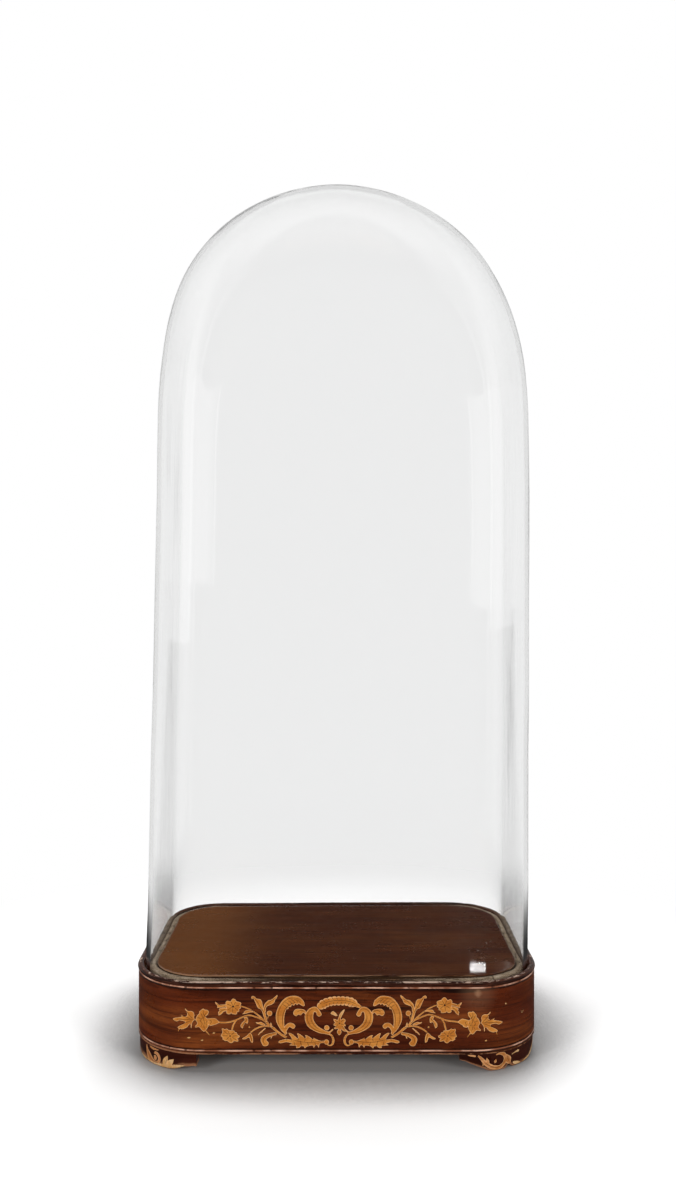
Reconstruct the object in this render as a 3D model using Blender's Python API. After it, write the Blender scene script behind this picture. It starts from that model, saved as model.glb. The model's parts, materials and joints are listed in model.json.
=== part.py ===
"""A glass display dome on its veneered base.

Metres, +Z up. The origin is on the surface that the feet stand on, under the middle of the base,
and the front of the base faces -Y. Every layer of the base shares one rounded rectangle: a layer is
given by its inset, the distance in from the veneered face, and its corners stay concentric.
"""

import math

import bmesh
import bpy
from mathutils import Matrix, Vector

# Plan of the base, over the veneered face.
BASE_WIDTH = 0.310
BASE_DEPTH = 0.206
CORNER_RADIUS = 0.054
CORNER_STEPS = 12

# Clearances.
GLUE_LINE = 0.0003
GLASS_CLEARANCE = 0.0005
SCREW_CLEARANCE = 0.0003

# Feet, shaped like curved brackets that follow the corners.
FOOT_HEIGHT = 0.0132
FOOT_INSET = 0.0010
FOOT_THICKNESS = 0.0120
FOOT_OVERRUN = 0.0100
FOOT_CONTACT_ANGLE = math.radians(53.0)
FOOT_END_HEIGHT = 0.0046
FOOT_CYMAS = 2
FOOT_BLOCK_THICKNESS = 0.0150
FOOT_BLOCK_ANGLE = math.radians(56.0)
FOOT_BLOCK_HEIGHT = 0.0100

# Veneered face, from the bottom up.
VENEER_THICKNESS = 0.0012
LOWER_BAND_HEIGHT = 0.0020
STRINGING_HEIGHT = 0.0010
VENEER_HEIGHT = 0.0448

# Softwood carcass.
RAIL_THICKNESS = 0.0140
CORNER_BLOCK_THICKNESS = 0.0226
TOP_BOARD_THICKNESS = 0.0060
BATTEN_WIDTH = 0.0200
BATTEN_THICKNESS = 0.0100
BATTEN_OFFSET = 0.0800
GLUE_BLOCK_LENGTH = 0.0300
GLUE_BLOCK_LEG = 0.0110
GLUE_BLOCK_OFFSET = 0.0400

# Bead round the top edge, the groove inside it, and the raised platform.
BEAD_WIDTH = 0.0052
BEAD_HEIGHT = 0.0034
BEAD_OVERHANG = 0.0006
BEAD_FILLET_HEIGHT = 0.0008
GROOVE_DEPTH = 0.0014
CORD_DIAMETER = 0.0046
CORD_RESOLUTION = 2
CORD_END_GAP = 0.0010
CORD_JOINT_ANGLE = math.radians(21.3)
CORD_SLACK = 0.0012
PLATFORM_BOARD_THICKNESS = 0.0039

# Blown glass dome.
GLASS_THICKNESS = 0.0032
DOME_HEIGHT = 0.6265
DOME_WALL_HEIGHT = 0.3975
DOME_TAPER = 0.0034
DOME_FRONT_EXPONENT = 3.6
DOME_FRONT_ROUNDNESS = 1.8
DOME_SIDE_EXPONENT = 5.0
DOME_OVAL_EXPONENT = 2.0
DOME_WALL_STEPS = 3
DOME_CROWN_STEPS = 16
DOME_CORNER_STEPS = 8
DOME_LONG_STEPS = 7
DOME_SHORT_STEPS = 4

# Countersunk wood screws.
SCREW_SHANK_RADIUS = 0.0016
SCREW_HEAD_RADIUS = 0.0034
SCREW_HEAD_HEIGHT = 0.0020
SCREW_SIDES = 16
BATTEN_SCREW_LENGTH = 0.0140
BATTEN_SCREW_SPACING = 0.1000
FOOT_SCREW_LENGTH = 0.0220

# Heights worked out from the sizes above.
CARCASS_BOTTOM = FOOT_HEIGHT + GLUE_LINE
LOWER_STRINGING_BOTTOM = CARCASS_BOTTOM + LOWER_BAND_HEIGHT + GLUE_LINE
VENEER_BOTTOM = LOWER_STRINGING_BOTTOM + STRINGING_HEIGHT + GLUE_LINE
UPPER_STRINGING_BOTTOM = VENEER_BOTTOM + VENEER_HEIGHT + GLUE_LINE
FACE_TOP = UPPER_STRINGING_BOTTOM + STRINGING_HEIGHT
GROOVE_FLOOR = FACE_TOP - GROOVE_DEPTH
TOP_BOARD_BOTTOM = GROOVE_FLOOR - TOP_BOARD_THICKNESS
RAIL_TOP = TOP_BOARD_BOTTOM - GLUE_LINE
BEAD_BOTTOM = FACE_TOP + GLUE_LINE
PLATFORM_BOTTOM = GROOVE_FLOOR + GLUE_LINE
PLATFORM_VENEER_BOTTOM = PLATFORM_BOTTOM + PLATFORM_BOARD_THICKNESS + GLUE_LINE
BATTEN_TOP = RAIL_TOP

# Insets worked out from the sizes above.
CARCASS_INSET = VENEER_THICKNESS + GLUE_LINE
RAIL_INNER_INSET = CARCASS_INSET + RAIL_THICKNESS
BEAD_INNER_INSET = BEAD_WIDTH - BEAD_OVERHANG
GLASS_INSET = BEAD_INNER_INSET + GLASS_CLEARANCE
CORD_INSET = GLASS_INSET + GLASS_THICKNESS + GLASS_CLEARANCE + CORD_DIAMETER / 2
PLATFORM_INSET = CORD_INSET + CORD_DIAMETER / 2 + CORD_SLACK

LONG_RUN = BASE_WIDTH - 2 * CORNER_RADIUS
SHORT_RUN = BASE_DEPTH - 2 * CORNER_RADIUS
QUARTER_TURN = math.pi / 2

# Each corner is turned counter-clockwise, seen from above, starting with the front left one.
CORNERS = {
    "front_left": (Vector((-LONG_RUN / 2, -SHORT_RUN / 2, 0)), math.pi),
    "front_right": (Vector((LONG_RUN / 2, -SHORT_RUN / 2, 0)), -QUARTER_TURN),
    "back_right": (Vector((LONG_RUN / 2, SHORT_RUN / 2, 0)), 0.0),
    "back_left": (Vector((-LONG_RUN / 2, SHORT_RUN / 2, 0)), QUARTER_TURN),
}
# Each side's name, its middle, the angle of its outward normal and its straight length.
SIDES = {
    "front": (Vector((0, -SHORT_RUN / 2, 0)), -QUARTER_TURN, LONG_RUN),
    "right": (Vector((LONG_RUN / 2, 0, 0)), 0.0, SHORT_RUN),
    "back": (Vector((0, SHORT_RUN / 2, 0)), QUARTER_TURN, LONG_RUN),
    "left": (Vector((-LONG_RUN / 2, 0, 0)), math.pi, SHORT_RUN),
}

MATERIALS = {
    "glass": ((0.90, 0.93, 0.92), 0.03, 0.0),
    "rosewood": ((0.13, 0.045, 0.025), 0.28, 0.0),
    "boxwood": ((0.72, 0.42, 0.20), 0.35, 0.0),
    "ebonised_wood": ((0.02, 0.014, 0.012), 0.22, 0.0),
    "softwood": ((0.52, 0.36, 0.20), 0.75, 0.0),
    "chenille": ((0.42, 0.36, 0.28), 0.95, 0.0),
    "steel": ((0.42, 0.41, 0.39), 0.40, 1.0),
}


def clear_scene():
    for old in list(bpy.data.objects):
        bpy.data.objects.remove(old, do_unlink=True)


def material(name):
    found = bpy.data.materials.get(name)
    if found:
        return found
    colour, roughness, metallic = MATERIALS[name]
    made = bpy.data.materials.new(name)
    made.use_nodes = True
    shader = made.node_tree.nodes["Principled BSDF"]
    shader.inputs["Base Color"].default_value = (*colour, 1.0)
    shader.inputs["Roughness"].default_value = roughness
    shader.inputs["Metallic"].default_value = metallic
    if name == "glass":
        shader.inputs["Transmission Weight"].default_value = 1.0
        shader.inputs["IOR"].default_value = 1.5
    return made


def add_object(name, bm, finish, smooth_angle=math.radians(30)):
    bmesh.ops.recalc_face_normals(bm, faces=bm.faces)
    mesh = bpy.data.meshes.new(name)
    bm.to_mesh(mesh)
    bm.free()
    mesh.materials.append(material(finish))
    mesh.shade_smooth()
    mesh.set_sharp_from_angle(angle=smooth_angle)
    made = bpy.data.objects.new(name, mesh)
    bpy.context.scene.collection.objects.link(made)
    return made


def outward(angle):
    return Vector((math.cos(angle), math.sin(angle), 0))


def section_loop(bm, section, centre, angle):
    """Edges of a closed section. Its points are (inset, height), set out from a corner centre."""
    normal = outward(angle)
    points = [centre + normal * (CORNER_RADIUS - inset) + Vector((0, 0, z)) for inset, z in section]
    verts = [bm.verts.new(p) for p in points]
    return [bm.edges.new((a, b)) for a, b in zip(verts, verts[1:] + verts[:1])]


def turn_corner(bm, edges, centre, angle=QUARTER_TURN, steps=CORNER_STEPS):
    spun = bmesh.ops.spin(
        bm, geom=edges, cent=centre, axis=(0, 0, 1), angle=angle, steps=steps, use_duplicate=False
    )
    return [g for g in spun["geom_last"] if isinstance(g, bmesh.types.BMEdge)]


def run_straight(bm, edges, vector):
    drawn = bmesh.ops.extrude_edge_only(bm, edges=edges)["geom"]
    verts = [g for g in drawn if isinstance(g, bmesh.types.BMVert)]
    bmesh.ops.translate(bm, verts=verts, vec=vector)
    return [g for g in drawn if isinstance(g, bmesh.types.BMEdge) and all(v in verts for v in g.verts)]


def cap(bm, edges):
    bmesh.ops.contextual_create(bm, geom=edges)


def sweep_all_round(name, section, finish):
    """A moulding or band that runs right round the base in one piece."""
    bm = bmesh.new()
    first_centre, first_angle = CORNERS["front_left"]
    edges = section_loop(bm, section, first_centre, first_angle)
    for centre, angle in CORNERS.values():
        edges = turn_corner(bm, edges, centre)
        along = outward(angle + math.pi)
        edges = run_straight(bm, edges, along * abs(along.dot(Vector((LONG_RUN, SHORT_RUN, 0)))))
    bmesh.ops.remove_doubles(bm, verts=bm.verts, dist=1e-6)
    return add_object(name, bm, finish)


def sweep_corner(name, section, corner, finish, start=0.0, turn=QUARTER_TURN, steps=CORNER_STEPS):
    """A piece of the section that runs round one corner only."""
    bm = bmesh.new()
    centre, angle = CORNERS[corner]
    first = section_loop(bm, section, centre, angle + start)
    last = turn_corner(bm, first, centre, turn, steps)
    cap(bm, first)
    cap(bm, last)
    return add_object(name, bm, finish)


def sweep_side(name, section, side, finish):
    """A straight length of the section between two corners, a glue line short at each end."""
    bm = bmesh.new()
    middle, angle, length = SIDES[side]
    along = outward(angle + QUARTER_TURN)
    start = middle - along * (length / 2 - GLUE_LINE)
    first = section_loop(bm, section, start, angle)
    last = run_straight(bm, first, along * (length - 2 * GLUE_LINE))
    cap(bm, first)
    cap(bm, last)
    return add_object(name, bm, finish)


def sweep_half(name, section, half, finish):
    """The section round two corners, from the middle of one short side to the middle of the other."""
    bm = bmesh.new()
    pairs = {"front": ("front_left", "front_right"), "back": ("back_right", "back_left")}
    first_corner, second_corner = pairs[half]
    first_centre, first_angle = CORNERS[first_corner]
    second_centre = CORNERS[second_corner][0]
    inward = outward(first_angle + QUARTER_TURN)
    half_run = SHORT_RUN / 2 - GLUE_LINE / 2
    first = section_loop(bm, section, first_centre - inward * half_run, first_angle)
    edges = run_straight(bm, first, inward * half_run)
    edges = turn_corner(bm, edges, first_centre)
    edges = run_straight(bm, edges, second_centre - first_centre)
    edges = turn_corner(bm, edges, second_centre)
    last = run_straight(bm, edges, -inward * half_run)
    cap(bm, first)
    cap(bm, last)
    return add_object(name, bm, finish)


def rectangle(inset_out, inset_in, bottom, top):
    return [(inset_out, bottom), (inset_in, bottom), (inset_in, top), (inset_out, top)]


def box_bmesh(width, depth, bottom, top, centre_x=0.0, centre_y=0.0):
    bm = bmesh.new()
    place = Matrix.Translation((centre_x, centre_y, (bottom + top) / 2))
    size = Matrix.Diagonal((width, depth, top - bottom, 1.0))
    bmesh.ops.create_cube(bm, size=1.0, matrix=place @ size)
    return bm


def rounded_board(name, inset, bottom, top, finish):
    """A board with the base's outline at this inset."""
    bm = box_bmesh(BASE_WIDTH - 2 * inset, BASE_DEPTH - 2 * inset, bottom, top)
    upright = [e for e in bm.edges if abs(e.verts[0].co.z - e.verts[1].co.z) > (top - bottom) / 2]
    bmesh.ops.bevel(
        bm,
        geom=upright,
        offset=CORNER_RADIUS - inset,
        segments=CORNER_STEPS,
        profile=0.5,
        affect="EDGES",
        clamp_overlap=False,
    )
    return add_object(name, bm, finish)


def drill(piece, places, bottom, top, countersunk=False):
    """Drills upright clearance holes for the screws, from bottom to top."""
    shank = SCREW_SHANK_RADIUS + SCREW_CLEARANCE
    head = SCREW_HEAD_RADIUS + SCREW_CLEARANCE
    profile = [(shank, bottom), (shank, top)]
    if countersunk:
        profile[0] = (shank, bottom + SCREW_HEAD_HEIGHT)
        profile = [(head, bottom - GLUE_LINE), (head, bottom), *profile]
    bm = bmesh.new()
    for x, y in places:
        add_turned(bm, x, y, profile)
    bmesh.ops.recalc_face_normals(bm, faces=bm.faces)
    mesh = bpy.data.meshes.new(f"{piece.name}_drill")
    bm.to_mesh(mesh)
    bm.free()
    cutter = bpy.data.objects.new(f"{piece.name}_drill", mesh)
    cutter.hide_render = True
    cutter.display_type = "WIRE"
    bpy.context.scene.collection.objects.link(cutter)
    cut = piece.modifiers.new("holes", "BOOLEAN")
    cut.operation = "DIFFERENCE"
    cut.solver = "EXACT"
    cut.object = cutter


def add_turned(bm, x, y, profile, sides=SCREW_SIDES):
    """Adds a solid turned about an upright line to a bmesh. The profile is (radius, height), bottom up."""
    rings = []
    for radius, z in profile:
        ring = bmesh.ops.create_circle(
            bm, segments=sides, radius=radius, matrix=Matrix.Translation((x, y, z))
        )["verts"]
        rings.append(ring)
    for low, high in zip(rings, rings[1:]):
        for i in range(sides):
            j = (i + 1) % sides
            bm.faces.new((low[i], low[j], high[j], high[i]))
    bm.faces.new(rings[0])
    bm.faces.new(rings[-1])


def make_screw(name, x, y, head_z, length):
    """A countersunk wood screw driven upwards, with its head flush at head_z."""
    bm = bmesh.new()
    profile = [
        (SCREW_HEAD_RADIUS, 0.0),
        (SCREW_SHANK_RADIUS, SCREW_HEAD_HEIGHT),
        (SCREW_SHANK_RADIUS, length * 0.75),
        (SCREW_SHANK_RADIUS * 0.2, length),
    ]
    add_turned(bm, 0.0, 0.0, profile)
    screw = add_object(name, bm, "steel")
    screw.location = (x, y, head_z)


def batten_screw_places():
    return [
        (side * BATTEN_OFFSET, row * BATTEN_SCREW_SPACING / 2)
        for side in (-1, 1)
        for row in (-1, 1)
    ]


def foot_block_inset():
    """Inset of the middle of the glue block that backs each foot."""
    return FOOT_INSET + FOOT_THICKNESS + GLUE_LINE + FOOT_BLOCK_THICKNESS / 2


def foot_screw_places():
    places = []
    for centre, angle in CORNERS.values():
        at = centre + outward(angle + QUARTER_TURN / 2) * (CORNER_RADIUS - foot_block_inset())
        places.append((at.x, at.y))
    return places


def make_carcass():
    """Softwood rails and corner blocks, with the top board that they carry."""
    rail = rectangle(CARCASS_INSET, RAIL_INNER_INSET, CARCASS_BOTTOM, RAIL_TOP)
    for side in SIDES:
        sweep_side(f"{side}_rail", rail, side, "softwood")
    block = rectangle(CARCASS_INSET, CARCASS_INSET + CORNER_BLOCK_THICKNESS, CARCASS_BOTTOM, RAIL_TOP)
    top_of_screw = CARCASS_BOTTOM - FOOT_BLOCK_HEIGHT + FOOT_SCREW_LENGTH
    for corner, (x, y) in zip(CORNERS, foot_screw_places()):
        made = sweep_corner(f"{corner}_corner_block", block, corner, "softwood")
        drill(made, [(x, y)], CARCASS_BOTTOM - GLUE_LINE, top_of_screw + SCREW_CLEARANCE)
    board = rounded_board("top_board", CARCASS_INSET, TOP_BOARD_BOTTOM, GROOVE_FLOOR, "softwood")
    tip = BATTEN_TOP - BATTEN_THICKNESS + BATTEN_SCREW_LENGTH + SCREW_CLEARANCE
    drill(board, batten_screw_places(), TOP_BOARD_BOTTOM - GLUE_LINE, tip)


def make_battens():
    """Two cross battens that hold the top board flat, screwed up into it."""
    depth = BASE_DEPTH - 2 * RAIL_INNER_INSET - 2 * GLUE_LINE
    bottom = BATTEN_TOP - BATTEN_THICKNESS
    for name, side in (("left", -1), ("right", 1)):
        bm = box_bmesh(BATTEN_WIDTH, depth, bottom, BATTEN_TOP, centre_x=side * BATTEN_OFFSET)
        batten = add_object(f"{name}_batten", bm, "softwood")
        places = [(x, y) for x, y in batten_screw_places() if x * side > 0]
        drill(batten, places, bottom, BATTEN_TOP + GLUE_LINE, countersunk=True)
    for number, (x, y) in enumerate(batten_screw_places(), 1):
        make_screw(f"batten_screw_{number}", x, y, bottom, BATTEN_SCREW_LENGTH)


def make_glue_blocks():
    """Three-cornered blocks rubbed into the angle between the rails and the top board."""
    places = {
        "front_left_glue_block": ("front", -GLUE_BLOCK_OFFSET),
        "front_right_glue_block": ("front", GLUE_BLOCK_OFFSET),
        "right_glue_block": ("right", 0.0),
        "back_right_glue_block": ("back", -GLUE_BLOCK_OFFSET),
        "back_left_glue_block": ("back", GLUE_BLOCK_OFFSET),
        "left_glue_block": ("left", 0.0),
    }
    inset = RAIL_INNER_INSET + GLUE_LINE
    top = RAIL_TOP
    section = [(inset, top - GLUE_BLOCK_LEG), (inset + GLUE_BLOCK_LEG, top), (inset, top)]
    for name, (side, offset) in places.items():
        middle, angle, _ = SIDES[side]
        along = outward(angle + QUARTER_TURN)
        bm = bmesh.new()
        start = middle + along * (offset - GLUE_BLOCK_LENGTH / 2)
        first = section_loop(bm, section, start, angle)
        last = run_straight(bm, first, along * GLUE_BLOCK_LENGTH)
        cap(bm, first)
        cap(bm, last)
        add_object(name, bm, "softwood")


def make_face():
    """Rosewood veneer in two sheets, with boxwood lines above and below it and a plain lower band."""
    sheet = rectangle(0, VENEER_THICKNESS, VENEER_BOTTOM, VENEER_BOTTOM + VENEER_HEIGHT)
    for half in ("front", "back"):
        sweep_half(f"{half}_veneer", sheet, half, "rosewood")
    band = rectangle(0, VENEER_THICKNESS, CARCASS_BOTTOM, CARCASS_BOTTOM + LOWER_BAND_HEIGHT)
    sweep_all_round("lower_edge_band", band, "rosewood")
    for name, bottom in (("lower", LOWER_STRINGING_BOTTOM), ("upper", UPPER_STRINGING_BOTTOM)):
        line = rectangle(0, VENEER_THICKNESS, bottom, bottom + STRINGING_HEIGHT)
        sweep_all_round(f"{name}_stringing", line, "boxwood")


def bead_section(steps=7):
    """A flattened bead on a small fillet. Its tongue reaches down behind the face to the top board."""
    half_width = BEAD_WIDTH / 2
    middle = BEAD_INNER_INSET - half_width
    spring = BEAD_BOTTOM + BEAD_FILLET_HEIGHT
    rise = BEAD_HEIGHT - BEAD_FILLET_HEIGHT
    points = [(BEAD_INNER_INSET, GROOVE_FLOOR + GLUE_LINE)]
    for i in range(steps + 1):
        a = math.pi * i / steps
        points.append((middle + half_width * math.cos(a), spring + rise * math.sin(a)))
    points += [(0, BEAD_BOTTOM), (CARCASS_INSET, BEAD_BOTTOM), (CARCASS_INSET, GROOVE_FLOOR + GLUE_LINE)]
    return points


def make_bead():
    """Ebonised bead round the top edge: four straight lengths and four turned quarters."""
    section = bead_section()
    for side in SIDES:
        sweep_side(f"{side}_bead", section, side, "ebonised_wood")
    for corner in CORNERS:
        sweep_corner(f"{corner}_bead", section, corner, "ebonised_wood")


def make_platform():
    """The raised board that the exhibit stands on, and its veneer."""
    top = PLATFORM_BOTTOM + PLATFORM_BOARD_THICKNESS
    rounded_board("platform_board", PLATFORM_INSET, PLATFORM_BOTTOM, top, "softwood")
    veneer_top = PLATFORM_VENEER_BOTTOM + VENEER_THICKNESS
    rounded_board("platform_veneer", PLATFORM_INSET, PLATFORM_VENEER_BOTTOM, veneer_top, "rosewood")


def cord_path(z, steps=CORNER_STEPS):
    """Points right round the groove, from one side of the joint in the front right corner to the other."""
    radius = CORNER_RADIUS - CORD_INSET
    half_gap = CORD_END_GAP / 2 / radius
    turns = [QUARTER_TURN * i / steps for i in range(steps + 1)]
    least = QUARTER_TURN / steps / 3
    stops = [("front_right", CORD_JOINT_ANGLE + half_gap)]
    stops += [("front_right", turn) for turn in turns if turn > CORD_JOINT_ANGLE + half_gap + least]
    stops += [(corner, turn) for corner in ("back_right", "back_left", "front_left") for turn in turns]
    stops += [("front_right", turn) for turn in turns if turn < CORD_JOINT_ANGLE - half_gap - least]
    stops += [("front_right", CORD_JOINT_ANGLE - half_gap)]
    points = []
    for corner, turn in stops:
        centre, angle = CORNERS[corner]
        points.append(centre + outward(angle + turn) * radius + Vector((0, 0, z)))
    return points


def make_cord():
    """Chenille cord laid in the groove round the foot of the glass. Its ends meet in a corner."""
    z = GROOVE_FLOOR + GLUE_LINE + CORD_DIAMETER / 2
    points = cord_path(z)
    line = bpy.data.curves.new("seal_cord", "CURVE")
    line.dimensions = "3D"
    line.bevel_depth = CORD_DIAMETER / 2
    line.bevel_resolution = CORD_RESOLUTION
    line.use_fill_caps = True
    route = line.splines.new("POLY")
    route.points.add(len(points) - 1)
    for at, p in zip(route.points, points):
        at.co = (*p, 1.0)
    line.materials.append(material("chenille"))
    made = bpy.data.objects.new("seal_cord", line)
    bpy.context.scene.collection.objects.link(made)


def foot_lift(distance, contact, end):
    """Height of the foot's underside at a distance along it from its middle: cymas that step up."""
    share = min(1.0, max(0.0, (distance - contact) / (end - contact)))
    whole = min(FOOT_CYMAS - 1, int(share * FOOT_CYMAS))
    part = share * FOOT_CYMAS - whole
    return (FOOT_HEIGHT - FOOT_END_HEIGHT) * (whole + part * part * (3 - 2 * part)) / FOOT_CYMAS


def make_foot(corner):
    """A bracket that follows the round corner, flat where it stands and with a cyma to each end."""
    centre, angle = CORNERS[corner]
    outer = CORNER_RADIUS - FOOT_INSET
    inner = outer - FOOT_THICKNESS
    contact = outer * FOOT_CONTACT_ANGLE / 2
    end = outer * QUARTER_TURN / 2 + FOOT_OVERRUN
    stations = []
    overrun_steps = 3
    for i in range(overrun_steps, 0, -1):
        stations.append((angle, -FOOT_OVERRUN * i / overrun_steps))
    for i in range(2 * CORNER_STEPS + 1):
        stations.append((angle + QUARTER_TURN * i / (2 * CORNER_STEPS), 0.0))
    for i in range(1, overrun_steps + 1):
        stations.append((angle + QUARTER_TURN, FOOT_OVERRUN * i / overrun_steps))
    bm = bmesh.new()
    loops = []
    for turned, along in stations:
        slide = outward(turned + QUARTER_TURN) * along
        from_middle = abs(turned - angle - QUARTER_TURN / 2) * outer + abs(along)
        bottom = foot_lift(from_middle, contact, end)
        corners = [(outer, bottom), (inner, bottom), (inner, FOOT_HEIGHT), (outer, FOOT_HEIGHT)]
        loops.append(
            [bm.verts.new(centre + slide + outward(turned) * r + Vector((0, 0, z))) for r, z in corners]
        )
    for here, there in zip(loops, loops[1:]):
        for i in range(4):
            j = (i + 1) % 4
            bm.faces.new((here[i], here[j], there[j], there[i]))
    bm.faces.new(loops[0])
    bm.faces.new(loops[-1])
    add_object(f"{corner}_foot", bm, "rosewood")


def make_feet():
    """Four bracket feet, each backed by a glue block that is screwed up into the carcass."""
    inset = FOOT_INSET + FOOT_THICKNESS + GLUE_LINE
    top = CARCASS_BOTTOM - GLUE_LINE
    bottom = CARCASS_BOTTOM - FOOT_BLOCK_HEIGHT
    section = rectangle(inset, inset + FOOT_BLOCK_THICKNESS, bottom, top)
    start = (QUARTER_TURN - FOOT_BLOCK_ANGLE) / 2
    for corner, (x, y) in zip(CORNERS, foot_screw_places()):
        make_foot(corner)
        block = sweep_corner(
            f"{corner}_foot_block", section, corner, "softwood", start, FOOT_BLOCK_ANGLE, CORNER_STEPS // 2
        )
        drill(block, [(x, y)], bottom, top + GLUE_LINE, countersunk=True)
    for number, (x, y) in enumerate(foot_screw_places(), 1):
        make_screw(f"foot_block_screw_{number}", x, y, bottom, FOOT_SCREW_LENGTH)


def dome_foot_outline():
    """Points round the foot of the glass, counter-clockwise from above, with its straights divided."""
    radius = CORNER_RADIUS - GLASS_INSET
    points = []
    for corner, (centre, angle) in CORNERS.items():
        for i in range(DOME_CORNER_STEPS + 1):
            points.append(centre + outward(angle + QUARTER_TURN * i / DOME_CORNER_STEPS) * radius)
        steps = DOME_LONG_STEPS if corner in ("front_left", "back_right") else DOME_SHORT_STEPS
        length = LONG_RUN if corner in ("front_left", "back_right") else SHORT_RUN
        along = outward(angle + math.pi)
        start = points[-1]
        points += [start + along * length * i / steps for i in range(1, steps)]
    return points


def dome_levels():
    """(height, half width, half depth, share of the crown) for each ring of the dome, the foot first."""
    foot_width = BASE_WIDTH / 2 - GLASS_INSET
    foot_depth = BASE_DEPTH / 2 - GLASS_INSET
    levels = []
    for i in range(DOME_WALL_STEPS + 1):
        share = i / DOME_WALL_STEPS
        taper = DOME_TAPER * share
        levels.append((DOME_WALL_HEIGHT * share, foot_width - taper, foot_depth - taper, 0.0))
    for i in range(1, DOME_CROWN_STEPS):
        rise = math.sin(QUARTER_TURN * i / DOME_CROWN_STEPS) ** (2 / DOME_FRONT_EXPONENT)
        width = (foot_width - DOME_TAPER) * (1 - rise**DOME_FRONT_EXPONENT) ** (1 / DOME_FRONT_ROUNDNESS)
        depth = (foot_depth - DOME_TAPER) * math.sqrt(1 - rise**DOME_SIDE_EXPONENT)
        height = DOME_WALL_HEIGHT + (DOME_HEIGHT - DOME_WALL_HEIGHT) * rise
        levels.append((height, width, depth, rise))
    return levels


def make_dome():
    """One blown skin, from a round-cornered foot to a round crown, thickened inwards."""
    outline = dome_foot_outline()
    levels = dome_levels()
    _, foot_width, foot_depth, _ = levels[0]
    bottom = GROOVE_FLOOR + GLUE_LINE
    bm = bmesh.new()
    rings = []
    for height, width, depth, crown in levels:
        oval = crown**DOME_OVAL_EXPONENT
        ring = []
        for p in outline:
            x = p.x / foot_width
            y = p.y / foot_depth
            drawn_in = 1 - oval + oval / math.hypot(x, y)
            ring.append(bm.verts.new((x * width * drawn_in, y * depth * drawn_in, bottom + height)))
        rings.append(ring)
    count = len(outline)
    for low, high in zip(rings, rings[1:]):
        for i in range(count):
            j = (i + 1) % count
            bm.faces.new((low[i], low[j], high[j], high[i]))
    top = bm.verts.new((0, 0, bottom + DOME_HEIGHT))
    for i in range(count):
        bm.faces.new((rings[-1][i], rings[-1][(i + 1) % count], top))
    dome = add_object("glass_dome", bm, "glass", smooth_angle=math.radians(40))
    wall = dome.modifiers.new("wall", "SOLIDIFY")
    wall.thickness = GLASS_THICKNESS
    wall.offset = -1.0
    wall.use_even_offset = True
    wall.use_rim = True


clear_scene()
make_carcass()
make_battens()
make_glue_blocks()
make_face()
make_bead()
make_platform()
make_cord()
make_feet()
make_dome()
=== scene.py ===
"""The finish of a glass display dome and its veneered base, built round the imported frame.

Lengths are in metres unless a name ends in _MM. A place on the side of the base is given by s, the
distance along the veneered face from the middle of the front, to the right, and by a height. An
inset is the distance in from the veneered face.
"""

import json
import math
import random

import bmesh
import bpy
import numpy as np
from bpy.props import FloatProperty, FloatVectorProperty, IntProperty, PointerProperty
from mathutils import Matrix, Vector, noise
from mathutils.geometry import delaunay_2d_cdt


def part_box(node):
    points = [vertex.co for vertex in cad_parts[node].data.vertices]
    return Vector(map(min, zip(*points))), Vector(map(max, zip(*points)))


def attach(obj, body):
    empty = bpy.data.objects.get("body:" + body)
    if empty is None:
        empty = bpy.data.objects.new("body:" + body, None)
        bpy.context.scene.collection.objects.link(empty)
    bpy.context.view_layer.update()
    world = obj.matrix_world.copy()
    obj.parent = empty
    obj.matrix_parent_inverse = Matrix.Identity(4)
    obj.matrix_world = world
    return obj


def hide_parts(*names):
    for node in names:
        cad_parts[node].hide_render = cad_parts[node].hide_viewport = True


bl_info = {
    "name": "Display Dome",
    "version": (1, 0, 0),
    "blender": (4, 5, 0),
    "location": "View3D > Sidebar > Display Dome",
    "description": "Builds the finish of a glass display dome and its inlaid wooden base",
    "category": "Object",
}

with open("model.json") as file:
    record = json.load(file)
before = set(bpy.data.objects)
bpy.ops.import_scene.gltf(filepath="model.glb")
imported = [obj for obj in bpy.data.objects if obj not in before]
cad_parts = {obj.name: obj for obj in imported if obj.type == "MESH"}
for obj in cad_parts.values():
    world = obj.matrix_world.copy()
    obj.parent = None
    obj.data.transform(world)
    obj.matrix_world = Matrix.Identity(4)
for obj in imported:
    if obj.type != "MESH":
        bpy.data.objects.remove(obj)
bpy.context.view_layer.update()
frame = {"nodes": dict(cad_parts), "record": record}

MM = 0.001
QUARTER_TURN = math.pi / 2

# The base's plan, from the frame.
GLUE_LINE = 0.3 * MM
VENEER = 1.2 * MM
FACE_LOW, FACE_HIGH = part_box("front_veneer")
HALF_WIDTH = FACE_HIGH.x
HALF_DEPTH = -FACE_LOW.y
SPINE_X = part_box("front_bead")[1].x + GLUE_LINE
CORNER_RADIUS = HALF_WIDTH - SPINE_X
SPINE_Y = HALF_DEPTH - CORNER_RADIUS
QUARTER_ARC = CORNER_RADIUS * QUARTER_TURN
PERIMETER = 4 * (SPINE_X + SPINE_Y + QUARTER_ARC)
FACE_MIDDLE = (FACE_LOW.z + FACE_HIGH.z) / 2
CORNERS = ("front_right", "back_right", "back_left", "front_left")
SIDES = ("front", "right", "back", "left")


def srgb(red, green, blue):
    """Linear colour from the 0 to 255 values of a colour picker."""
    values = (red / 255, green / 255, blue / 255)
    return tuple(v / 12.92 if v <= 0.04045 else ((v + 0.055) / 1.055) ** 2.4 for v in values)


# ---------------------------------------------------------------------------------------------
# Settings
# ---------------------------------------------------------------------------------------------


def described(kind, name, description, default, **limits):
    return kind(name=name, description=description, default=default, **limits)


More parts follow.
